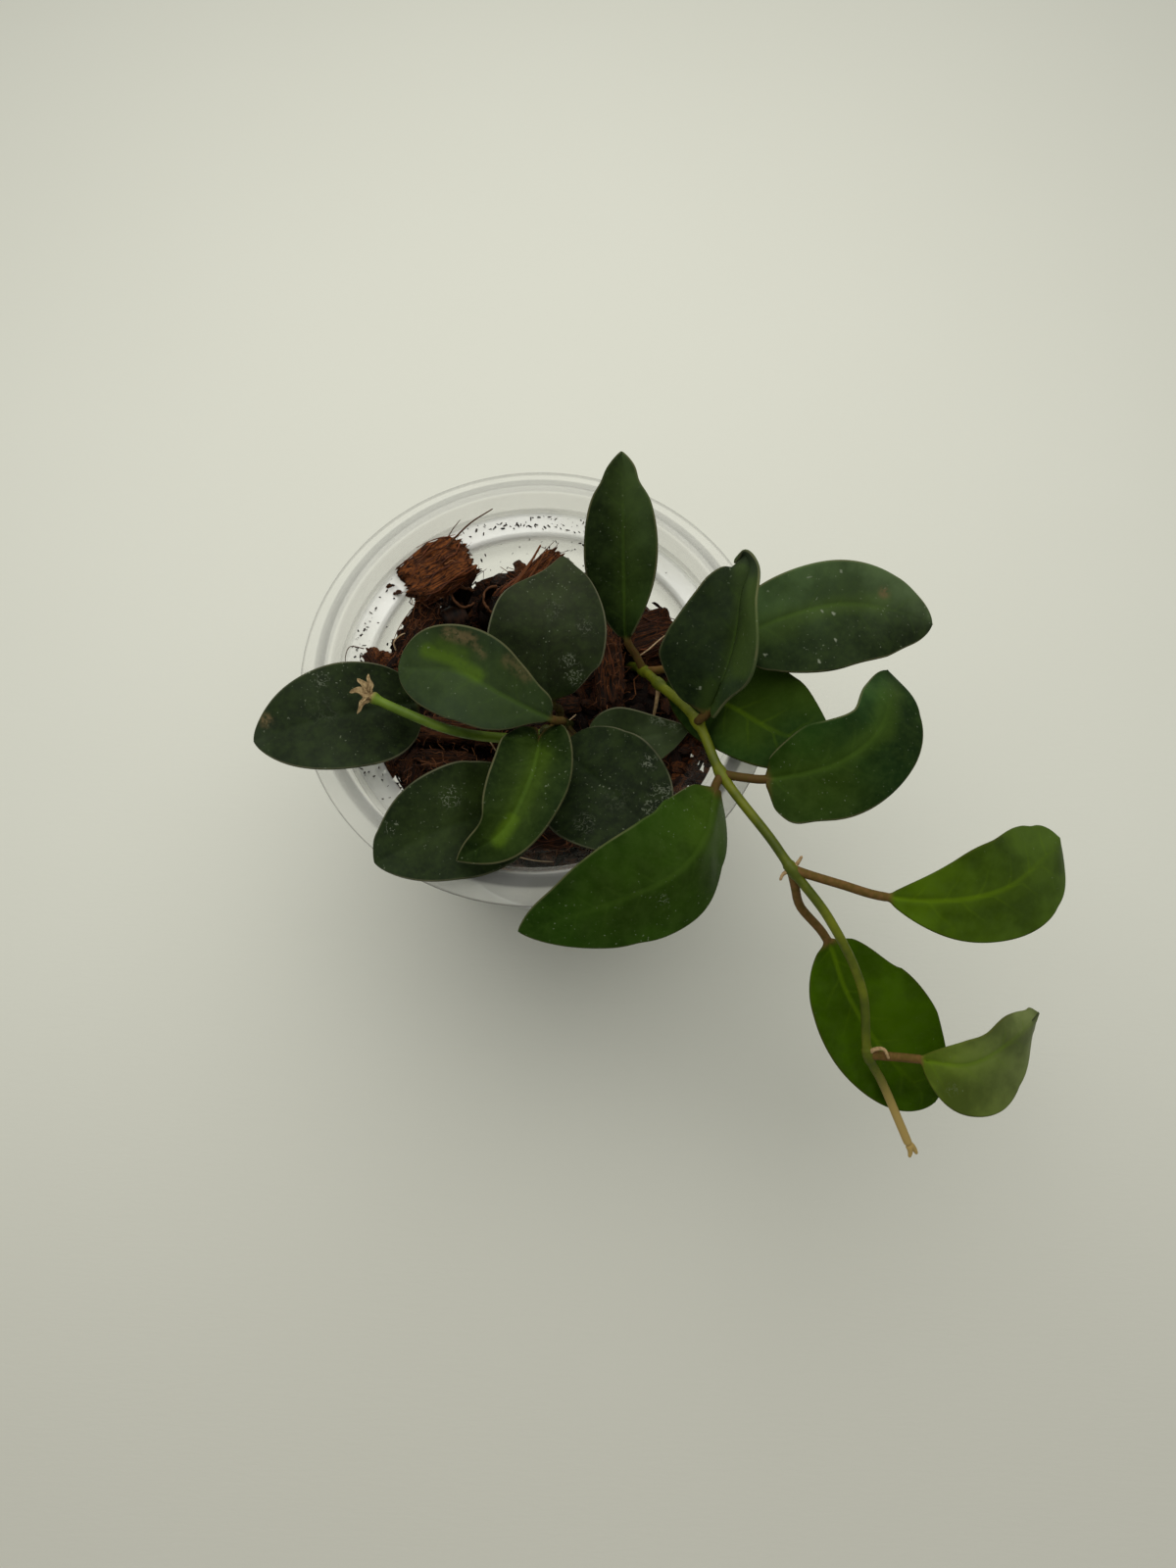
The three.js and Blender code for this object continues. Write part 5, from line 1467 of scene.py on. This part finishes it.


# %% [markdown]
# ## Leaves: marks from the photograph
# No two leaves look alike: some carry a yellow-green streak, a scorched patch, or rings of
# lime where hard water dried. Each mark is given by the pixels that it covers. The camera's
# numbers say where every point of the leaf lands in the photograph, so the mark's strength
# can be kept on the points as a number between 0 and 1, wherever the leaf itself sits.

# %% Leaf marks
# kind: (pixels along the mark, half width in pixels, strength)
# The marks that lighten a leaf towards yellow-green are partly the paler midribs' own colour and partly
# painted highlights where a leaf's face turns to the light.
MARKS = {
    "leaf_01_back": [("pale_rib_and_highlight", [(634, 490), (640, 560), (642, 610)], 14, 0.25)],
    "leaf_02_middle_back": [
        ("lime", [(581, 677), (586, 690)], 9, 0.8), ("lime", [(596, 640)], 10, 0.35),
        ("lime", [(566, 622)], 12, 0.3)],
    "leaf_03_middle_left": [
        ("streak", [(436, 664), (460, 672), (487, 689)], 7, 0.42),
        ("streak", [(450, 660), (470, 668)], 8, 0.2),
        ("pale_rib_and_highlight", [(425, 668), (470, 682), (540, 715)], 30, 0.35),
        ("scorch", [(457, 646), (480, 652)], 6, 0.6), ("scorch", [(486, 660), (492, 668)], 4, 0.4),
        ("scorch", [(518, 674), (538, 690)], 6, 0.35)],
    "leaf_04_left": [
        ("lime", [(328, 694)], 9, 0.5), ("scorch", [(271, 735)], 6, 0.8), ("lime", [(330, 725)], 20, 0.25)],
    "leaf_05_front_left": [
        ("lime", [(399, 843)], 7, 1.0), ("lime", [(459, 814)], 11, 0.6),
        ("pale_rib_and_highlight", [(430, 850), (480, 810)], 26, 0.2)],
    "leaf_06_front_middle": [
        ("lime", [(675, 812), (670, 826)], 12, 0.8), ("lime", [(662, 778)], 9, 0.6),
        ("lime", [(628, 815)], 18, 0.25), ("lime", [(596, 840)], 12, 0.4)],
    "leaf_07_front_striped": [
        ("streak", [(552, 772), (541, 799), (528, 826)], 10, 0.14),
        ("streak", [(523, 836), (509, 857)], 7, 0.38),
        ("pale_rib_and_highlight", [(545, 775), (515, 850)], 24, 0.35)],
    "leaf_08_middle_small": [("lime", [(669, 729), (690, 738)], 9, 0.5)],
    "leaf_09_front_large": [
        ("pale_rib_and_highlight", [(732, 813), (722, 850)], 26, 0.5), ("pale_rib_and_highlight", [(722, 850), (691, 891), (634, 916)], 40, 0.2),
        ("lime", [(676, 918)], 6, 0.6)],
    "leaf_10_curled_tip": [
        ("pale_rib_and_highlight", [(740, 689), (751, 647), (757, 610), (756, 583)], 8, 0.45),
        ("pale_rib_and_highlight", [(722, 728), (726, 700)], 9, 0.5), ("dot", [(714, 702)], 2.2, 0.9),
        ("pale_rib_and_highlight", [(772, 600), (766, 640), (756, 680)], 12, 0.9)],
    "leaf_11_right_large": [
        ("pale_rib_and_highlight", [(772, 642), (810, 629), (853, 617), (900, 614)], 9, 0.5),
        ("pale_rib_and_highlight", [(772, 642), (800, 634)], 16, 0.5), ("scorch", [(902, 605)], 5, 0.7),
        ("dot", [(826, 589)], 2.4, 1.0), ("dot", [(839, 625)], 2.4, 1.0), ("dot", [(851, 626)], 2.4, 1.0),
        ("dot", [(853, 654)], 2.4, 1.0), ("dot", [(836, 675)], 2.4, 1.0), ("dot", [(781, 668)], 2.6, 0.9),
        ("dot", [(858, 583)], 2.4, 0.8), ("dot", [(801, 640)], 2.2, 0.7)],
    "leaf_12_right_lower": [("pale_rib_and_highlight", [(760, 735), (790, 700), (830, 700)], 26, 0.7)],
    "leaf_13_curved": [
        ("pale_rib_and_highlight", [(786, 797), (853, 779), (902, 743), (908, 710)], 12, 0.6), ("pale_rib_and_highlight", [(830, 800)], 50, 0.5)],
    "leaf_14_far_right": [
        ("pale_rib_and_highlight", [(903, 914), (974, 921), (1037, 907), (1070, 880)], 10, 0.5),
        ("pale_rib_and_highlight", [(930, 912)], 40, 0.35)],
    "leaf_15_hanging": [
        ("pale_rib_and_highlight", [(850, 965), (880, 1010), (935, 1100)], 12, 0.5), ("pale_rib_and_highlight", [(900, 1030)], 60, 0.3)],
    "leaf_16_vine_end": [
        ("pale_rib_and_highlight", [(935, 1083), (980, 1093), (1025, 1082)], 9, 0.5), ("lime", [(972, 1112)], 8, 0.35)],
}


def mark_strength(pixels, line, half_width):
    """1 on a line of pixels, fading to 0 at twice its half width."""
    line = [np.array(p, float) for p in (line if len(line) > 1 else line * 2)]
    nearest = np.full(len(pixels), 1e9)
    for start, end in zip(line, line[1:]):
        way = end - start
        share = np.clip((pixels - start) @ way / max(way @ way, 1e-9), 0, 1)
        nearest = np.minimum(nearest, np.linalg.norm(pixels - (start + share[:, None] * way), axis=1))
    return 1 - smoothstep(nearest, 0.35 * half_width, 1.7 * half_width)


def marks_on(node, points, upper):
    """Each kind of mark's strength on a leaf's points; marks lie on the upper side only."""
    pixels = photo_pixel(points)
    strength = {kind: np.zeros(len(points)) for kind in ("streak", "scorch", "lime", "pale_rib_and_highlight", "dot")}
    for kind, line, half_width, most in MARKS.get(node, []):
        strength[kind] = np.maximum(strength[kind], most * mark_strength(pixels, line, half_width) * upper)
    return strength


# %% [markdown]
# ## Leaves: finish
# Three finishes serve the sixteen leaves: old grey-green ones in the middle, full green
# ones, and the bright young ones at the vine's end. All are built by one function. On top
# of each leaf's own two greens it lays a lighter midrib and faint side veins, a thin pale
# margin, a stalk of brown and pink, the marks, and a dusting of lime specks. The wax gives
# a broad soft sheen, so roughness is high and even, broken by dust and lime.

# %% Leaf finish
def leaf_finish(name, veins, margin, dust_above, roughness, sheen, sheen_tint, colours):
    """The finish of leaves of one age; colours are those of its veins, margin and stalk."""
    vein_colour, margin_colour, stalk = [linear(*colour) for colour in colours]
    look = Finish(name, Specular_IOR_Level=sheen, Specular_Tint=sheen_tint)
    tint = look.attribute("tint", "Color")
    rim, rib, vein = look.attribute("rim"), look.attribute("rib"), look.attribute("vein")
    share, upper = look.attribute("share"), look.attribute("upper")
    broad = look.noise(85, detail=4)
    fine = look.noise(2200, detail=3)
    cells = look.noise(900, detail=4)
    blotches = look.noise(300, detail=4)
    pale_green = linear(76, 96, 44)
    green = look.mix(look.band(broad, 0.35, 0.65), look.mix(0.5, tint, linear(6, 14, 3)), tint)
    cloud, speckle = look.mix(0.35, green, pale_green), look.mix(0.25, green, pale_green)
    clouded = look.mix(look.band(blotches, 0.4, 0.7) * 0.35, green, cloud)
    mottled = look.mix(look.band(cells, 0.40, 0.70) * 0.30, clouded, speckle)
    # Painted highlight and paler midrib: these marks lift the green towards a lit yellow-green.
    lit = look.mix(look.attribute("pale_rib_and_highlight") * 0.5, mottled, look.mix(0.5, tint, linear(94, 120, 26)))
    fraction = look.math("FRACT", vein + look.noise(160, detail=2) * 0.4)
    side_vein = look.band(abs(fraction - 0.5), 0.10, 0.0) * look.band(rib, 8.0, 0.5) * look.band(rim, 0.3, 3)
    midrib = look.band(rib, 0.9, 0.1) * look.band(share, 1.0, 0.35)
    veined = look.mix((side_vein * 0.3 + midrib) * veins, lit, vein_colour)
    streaked = look.mix(look.attribute("streak") * look.band(cells, -0.2, 0.55), veined, linear(92, 122, 20))
    scorched = look.mix(look.attribute("scorch") * look.band(cells, 0.3, 0.6), streaked, linear(112, 94, 66))
    edge = look.band(rim, 0.42, 0.2) * margin * look.band(broad, 0.75, 0.4)
    margined = look.mix(edge, scorched, margin_colour)
    settled = look.attribute("lime")
    contour = look.band(abs(look.noise(420, detail=3) - 0.5), 0.022, 0.004)
    lime = look.band(settled, 0.1, 0.6) * look.math("MAXIMUM", contour, look.specks(1700, 0.62))
    lime = look.math("MAXIMUM", lime, look.band(look.attribute("dot"), 0.4, 0.8) * 2)
    limed = look.mix(lime * 0.34, margined, linear(142, 148, 128))
    dust = look.specks(1500, dust_above, look.band(look.noise(90, detail=2), 0.35, 0.65))
    dusty = look.mix(dust * upper * 0.42, limed, linear(140, 148, 124))
    under = look.mix(upper, look.mix(0.35, tint, linear(92, 112, 52)), dusty)
    stalk_tone = look.mix(look.band(cells, 0.35, 0.65), stalk, look.mix(0.5, stalk, linear(70, 66, 22)))
    return look.finish(
        colour=look.mix(look.attribute("stalk"), under, stalk_tone),
        roughness=roughness + look.band(broad, 0.3, 0.7) * 0.08 + lime * 0.3 + fine * 0.08,
        height=cells * 0.35 + fine * 0.2 + side_vein * -0.2 * veins + lime * 0.4,
        depth=0.00016,
        strength=0.4,
    )


LEAF_FINISHES = {
    # The old leaves' dark stalk colour is partly their own and partly painted shade, as their stalks sit
    # under the other leaves.
    "leaf_old": leaf_finish(
        "old_leaf", veins=0.10, margin=0.55, dust_above=0.70, roughness=0.40, sheen=0.08,
        sheen_tint=(0.85, 1.0, 0.7, 1), colours=[(54, 70, 42), (112, 110, 86), (46, 34, 18)]),
    "leaf_green": leaf_finish(
        "green_leaf", veins=0.28, margin=0.55, dust_above=0.71, roughness=0.36, sheen=0.065,
        sheen_tint=(0.7, 1.0, 0.5, 1), colours=[(74, 100, 32), (108, 104, 74), (84, 62, 34)]),
    "leaf_young": leaf_finish(
        "young_leaf", veins=0.42, margin=0.4, dust_above=0.77, roughness=0.36, sheen=0.05,
        sheen_tint=(0.5, 1.0, 0.2, 1), colours=[(96, 124, 14), (70, 64, 26), (108, 80, 46)]),
}
# The greens are taken from each leaf as it is lit, so they carry some painted light and shade: the dark bases
# of leaf_04 and leaf_05 are painted shade from the parts above them.
LEAF_TINTS = {  # slot, the green at the base and at the tip
    "leaf_01_back": ("leaf_green", (26, 42, 10), (50, 62, 36)),
    "leaf_02_middle_back": ("leaf_old", (24, 30, 15), (46, 51, 34)),
    "leaf_03_middle_left": ("leaf_green", (45, 57, 39), (48, 60, 42)),
    "leaf_04_left": ("leaf_old", (8, 15, 1), (42, 51, 35)),
    "leaf_05_front_left": ("leaf_old", (14, 22, 5), (31, 41, 23)),
    "leaf_06_front_middle": ("leaf_old", (30, 40, 22), (13, 20, 9)),
    "leaf_07_front_striped": ("leaf_green", (16, 29, 7), (21, 35, 9)),
    "leaf_08_middle_small": ("leaf_old", (48, 60, 35), (56, 66, 42)),
    "leaf_09_front_large": ("leaf_green", (44, 68, 14), (32, 56, 8)),
    "leaf_10_curled_tip": ("leaf_green", (36, 50, 28), (52, 62, 45)),
    "leaf_11_right_large": ("leaf_green", (50, 70, 37), (68, 80, 54)),
    "leaf_12_right_lower": ("leaf_young", (14, 31, 3), (36, 58, 22)),
    "leaf_13_curved": ("leaf_green", (6, 33, 0), (46, 70, 34)),
    "leaf_14_far_right": ("leaf_young", (64, 88, 0), (72, 92, 34)),
    "leaf_15_hanging": ("leaf_young", (57, 86, 0), (54, 82, 0)),
    "leaf_16_vine_end": ("leaf_young", (88, 106, 22), (122, 132, 82)),
}

# How much painted light makes a leaf's left side lighter than its own greens, and painted shade its right
# side darker.
PAINTED_SIDE_LIGHT = {
    "leaf_01_back": -0.55, "leaf_10_curled_tip": -0.45, "leaf_11_right_large": 0.75, "leaf_13_curved": 0.45,
}

for number, (node, leaf) in enumerate(LEAVES.items()):
    slot, base_green, tip_green = LEAF_TINTS[node]
    points, faces, known = leaf_skin(leaf, number, node)
    share = known["share"][:, None]
    tint = np.array(linear(*base_green)) * (1 - share) + np.array(linear(*tip_green)) * share
    tint *= 1 - PAINTED_SIDE_LIGHT.get(node, 0) * np.tanh(known.pop("across") * 2)[:, None]
    known.update(marks_on(node, points, known["upper"]), tint=tint)
    blade = mesh_object(f"waxy_{node}", points, faces, known)
    piece(blade, slot, node, finish=LEAF_FINISHES[slot])

# %% [markdown]
# ## The spent flower stalk
# One short stem holds last season's flower stalk: a fresh green rod that ends in the dried
# papery star where the flowers sat. The rod is a shoot like the stems. The star's five
# scales are tiny leaves, so the leaf rule makes them at four times their size and they are
# shrunk towards their root.

# %% Flower stalk
FLOWER_STALK_ROUTE = [
    (3.2, -14.2, 95.5), (-1, -16.4, 96.8), (-9, -18, 101), (-18, -18.5, 107), (-29.5, -15, 111),
    (-34, -13, 112),
]
SCALE_ROOT = np.array([-33.6, -13.2, 112.0])
SCALES = [  # tip, half width and how far it curls up
    ((-36.4, -9.8, 113.6), 1.0, 1.0), ((-38.0, -12.6, 112.8), 1.1, 1.2), ((-36.2, -17.2, 112.2), 0.85, 0.7),
    ((-34.0, -9.0, 114.2), 0.85, 0.8), ((-35.0, -15.8, 115.0), 0.85, 0.5),
]
SCALE_ENLARGED = 4
LUMP_WAYS = [(-0.9, 0.5), (0.4, 0.9), (-0.5, -0.8)]  # mm from the root to three short stubs

stalk_finish = shoot_finish("flower_stalk")


def stalk_radius(share):
    return 1.2 - 0.25 * share + 0.55 * float(smoothstep(share, 0.93, 1))


def stalk_dryness(share):
    return 0.9 * smoothstep(share, 0.955, 0.995)


flower_parts = [shoots("flower_rod", [
    (FLOWER_STALK_ROUTE, stalk_radius, stalk_dryness),
    *[([SCALE_ROOT, SCALE_ROOT + [dx, dy, 1.6]], taper(0.35, 0.2), 1.0) for dx, dy in LUMP_WAYS],
], stalk_finish)]
for number, (tip, half_width, rise) in enumerate(SCALES):
    way = np.array(tip) - SCALE_ROOT
    shares = (0.15, 0.5, 0.8, 1.0)
    rib = [SCALE_ROOT + way * share + [0, 0, rise * math.sin(math.pi * share)] for share in shares]
    enlarged = [tuple(SCALE_ROOT + (p - SCALE_ROOT) * SCALE_ENLARGED) for p in rib]
    wide = half_width * SCALE_ENLARGED
    points, faces, _ = leaf_skin(dict(
        stalk=[tuple(SCALE_ROOT)], rib=enlarged, halves=(wide, wide * 0.8), heel=0.45, point=0.95,
        face=[(0, -0.2, 1), (0.3, 0.2, 1)], fold=(18, 24), fold_tip=(38, 30), cup=20, wave=1.4), number)
    points = SCALE_ROOT + (points - SCALE_ROOT) / SCALE_ENLARGED
    scale = mesh_object(f"scale_{number}", points, faces, {"dry": np.ones(len(points))})
    scale.data.materials.append(stalk_finish)
    flower_parts.append(scale)
piece(joined("flower_stalk_and_scales", flower_parts), "flower_stalk", "flower_stalk")

# %% [markdown]
# ## Roots and fibres that stand out
# A few pale roots and one long dark fibre can be told apart in the photograph, so each is a
# shoot of its own. Each point is given by its pixel and its height over the table: a line
# from the camera through that pixel says where it is, so it lies on the husk below it.

# %% Roots and fibres
PALE_ROOTS = [
    ([(648, 672, 82), (660, 664, 84.5), (674, 652, 84.5), (688, 642, 81)], 0.2),
    ([(404, 664, 80), (402, 655, 82.5), (409, 648, 82.5), (418, 645, 80)], 0.22),
    ([(564, 751, 77), (574, 741, 80), (588, 729, 78)], 0.2),
    ([(492, 748, 79), (500, 757, 81.5), (506, 766, 79)], 0.2),
    ([(520, 872, 71), (545, 880, 74.5), (566, 893, 72)], 0.16),
    ([(690, 768, 73), (706, 775, 77), (722, 770, 74)], 0.16),
]
DARK_FIBRES = [
    ([(452, 566, 92), (458, 556, 95), (467, 546, 97), (481, 533, 98.5), (503, 519, 99)], 0.28),
    ([(455, 552, 93), (462, 540, 95), (470, 530, 96)], 0.16),
    ([(372, 662, 91), (357, 660, 92.5), (346, 668, 92), (343, 678, 90.5)], 0.14),
    ([(545, 575, 92), (556, 562, 95), (566, 552, 95.5)], 0.14),
]
SPLINTERS = [  # the torn end of the bundle at the back
    ([(510, 614, 83), (534, 586, 89), (552, 556, 93)], 0.5),
    ([(518, 614, 83), (542, 587, 89), (559, 560, 93)], 0.42),
    ([(526, 618, 83), (548, 592, 88), (566, 567, 92)], 0.36),
    ([(514, 610, 84), (536, 580, 88), (550, 561, 91)], 0.3),
    ([(530, 616, 83), (552, 594, 87), (568, 578, 90)], 0.26),
    ([(528, 590, 84), (519, 584, 86), (510, 578, 87)], 0.14),
    ([(532, 588, 84), (526, 582, 86), (518, 579, 87)], 0.12),
]
STRANDS = {
    "husk_bundle_back": 30, "husk_chunk_back_left": 26, "husk_plate_left": 16, "husk_chip_right": 16,
}
FEWEST_STRANDS = 9


def lying(lines):
    """Shoots through pixels, each with its height over the table."""
    routes = [inside_pot(np.array([photo_point(*p) for p in line])) for line, _ in lines]
    return [(route, taper(radius, radius * 0.5), 1.0) for route, (_, radius) in zip(routes, lines)]


def strands_on(made, count, draw):
    """Thick strands that lie along a chip and lift off it at one end."""
    points, _ = mesh_arrays(made.data)
    middle, directions = long_axes(points)
    half = np.abs((points - middle) @ directions.T).max(0)
    routes = []
    for _ in range(count):
        turn, start, way = draw.uniform(0, 2 * np.pi), draw.uniform(-0.9, 0), draw.choice([-1, 1])
        knots = []
        for share in start + np.linspace(0, 0.95, 4):
            aim = middle + (half * [way * share, 1.2 * np.cos(turn), 1.2 * np.sin(turn)]) @ directions
            _, place, normal, _ = made.closest_point_on_mesh(Vector(aim * MM))
            knots.append(np.array(place) / MM + np.array(normal) * draw.uniform(-0.05, 0.25))
            turn += draw.normal(0, 0.1)
        knots[-1] += directions[0] * way * draw.uniform(0.2, 1.6) + np.array(normal) * draw.uniform(0, 0.9)
        routes.append((knots, taper(draw.uniform(0.1, 0.24), 0.06), 0.0))
    return routes


draw = repeatable(88)
strands = []
for node in CHIP_TINTS:
    strands += strands_on(bpy.data.objects[f"torn_{node}"], STRANDS.get(node, FEWEST_STRANDS), draw)
strands += lying(SPLINTERS)
piece(shoots("husk_strands", strands, shoot_finish("husk_strand"), sides=5), "husk_chip")
roots = shoots("pale_roots", lying(PALE_ROOTS), shoot_finish("pale_root"), sides=8, roughness=0.06)
piece(roots, "husk_chip")
piece(shoots("long_dark_fibres", lying(DARK_FIBRES), shoot_finish("dark_fibre"), sides=8), "husk_chip")
print("strands and splinters:", len(strands))

# %% [markdown]
# ## Crumbs on the ledge
# Black crumbs of husk have settled on the pot's ledge and cling to its wall, mostly at the
# back and the left. The scatter tree sows them on two bare rings, and a number on the
# rings' points says where they are thick on the ground.

# %% Crumbs on the ledge
CRUMB_PLACES = [  # degrees round the pot, spread in degrees, how thick
    (78, 14, 1.0), (100, 16, 0.8), (165, 9, 1.0), (207, 7, 1.0), (225, 6, 0.7), (50, 8, 0.3), (135, 20, 0.25),
]
RING_STEPS = 240


def crumb_ring(name, rows, most):
    """A bare ring through rows of (radius, height), sown where crumbs settle."""
    points = np.vstack([level_ring(radius, height, RING_STEPS) for radius, height in rows])
    degrees = np.degrees(2 * np.pi * np.arange(RING_STEPS) / RING_STEPS)
    places = [share * np.exp(-(((degrees - at) / spread) ** 2)) for at, spread, share in CRUMB_PLACES]
    sown = np.tile(sum(places) * most, len(rows))
    return mesh_object(name, points, joined_rings(len(rows), RING_STEPS), {"sown": sown})


crumb_look = Finish("crumbs", Specular_IOR_Level=0.3)
crumb_finish = crumb_look.finish(
    colour=crumb_look.mix(crumb_look.attribute("shade"), linear(12, 9, 6), linear(44, 27, 16)),
    roughness=0.6 + crumb_look.noise(3000) * 0.3,
    height=crumb_look.noise(4000),
    depth=0.0001,
)
CRUMBS = {
    "Bits": torn_bits, "Kinds": len(torn_bits.objects), "Wall clearance": -8 * MM,
    "Material": crumb_finish, "Tilt": 1.2,
}
ledge_rows = [(radius, LEDGE_HEIGHT + 0.15) for radius in (41.2, 45.0)]
ledge_ring = crumb_ring("ledge_crumbs", ledge_rows, 1.0)
wall_ring = crumb_ring("wall_crumbs", [(pot_inside(z) - 0.1, z) for z in (76, 81, 87)], 0.45)
settled = [
    scatter.grow(ledge_ring, {**CRUMBS, "Density": 620000.0, "Smallest": 0.02, "Largest": 0.11, "Seed": 91}),
    scatter.grow(wall_ring, {**CRUMBS, "Density": 260000.0, "Smallest": 0.03, "Largest": 0.1, "Seed": 95}),
]
piece(joined("ledge_and_wall_crumbs", settled), "husk_chip")

# %% [markdown]
# ## Floor and light
# The plant stands on a plain pale table. The light in the photograph is soft and comes from
# behind and the left: the shadow is wide and faint and falls to the front and right, and the
# table gets darker towards the camera. A large area light high at the back makes that
# shadow, and an even pale sky fills it in. The darkening towards the camera is partly
# painted shade in the table's colour.

# %% Floor and light
FLOOR_HALF = 3000  # mm
sides = ((-1, -1), (1, -1), (1, 1), (-1, 1))
floor = mesh_object("floor", [(x * FLOOR_HALF, y * FLOOR_HALF, 0) for x, y in sides], [(0, 1, 2, 3)])
table = Finish("pale_table", Specular_IOR_Level=0.25)
# Painted shade: the table's colour darkens towards the front.
painted_front_shade = table.band(table.add("ShaderNodeSeparateXYZ", sockets={0: table.place}, out="Y"), 0.0, -0.2)
weave = table.noise(1, detail=3, vector=table.stretched(table.place, (220, 900, 1)))
pale = table.mix(table.noise(6, detail=3), linear(230, 230, 217), linear(234, 234, 222))
floor.data.materials.append(table.finish(
    colour=table.mix(painted_front_shade * 0.3, pale, linear(196, 190, 176)),
    roughness=0.6 + table.noise(30) * 0.1,
    height=weave,
    depth=0.0002,
    strength=0.2,
))
floor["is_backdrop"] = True

scene.world = bpy.data.worlds.new("soft_sky")
scene.world.use_nodes = True
sky = scene.world.node_tree.nodes["Background"]
sky.inputs["Color"].default_value = (0.98, 1.0, 0.96, 1)
sky.inputs["Strength"].default_value = 0.32


def soft_light(name, place, size, power, colour):
    light = bpy.data.lights.new(name, "AREA")
    light.size, light.energy, light.color = size, power, colour
    made = bpy.data.objects.new(name, light)
    scene.collection.objects.link(made)
    made.location = place
    made.rotation_euler = (-made.location).to_track_quat("-Z", "Y").to_euler()


soft_light("softbox", Vector((-0.005, 0.155, 0.465)), 0.58, 1.82, (1.0, 0.99, 0.955))
scene.view_settings.view_transform = "Standard"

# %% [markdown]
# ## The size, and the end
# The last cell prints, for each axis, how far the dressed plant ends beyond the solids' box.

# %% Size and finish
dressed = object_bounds()
for axis, label in enumerate("XYZ"):
    beyond = [round((dressed[k][axis] - CAD_BOX[k][axis]) / MM, 2) for k in (0, 1)]
    print(label, "ends beyond the solids in mm:", beyond)
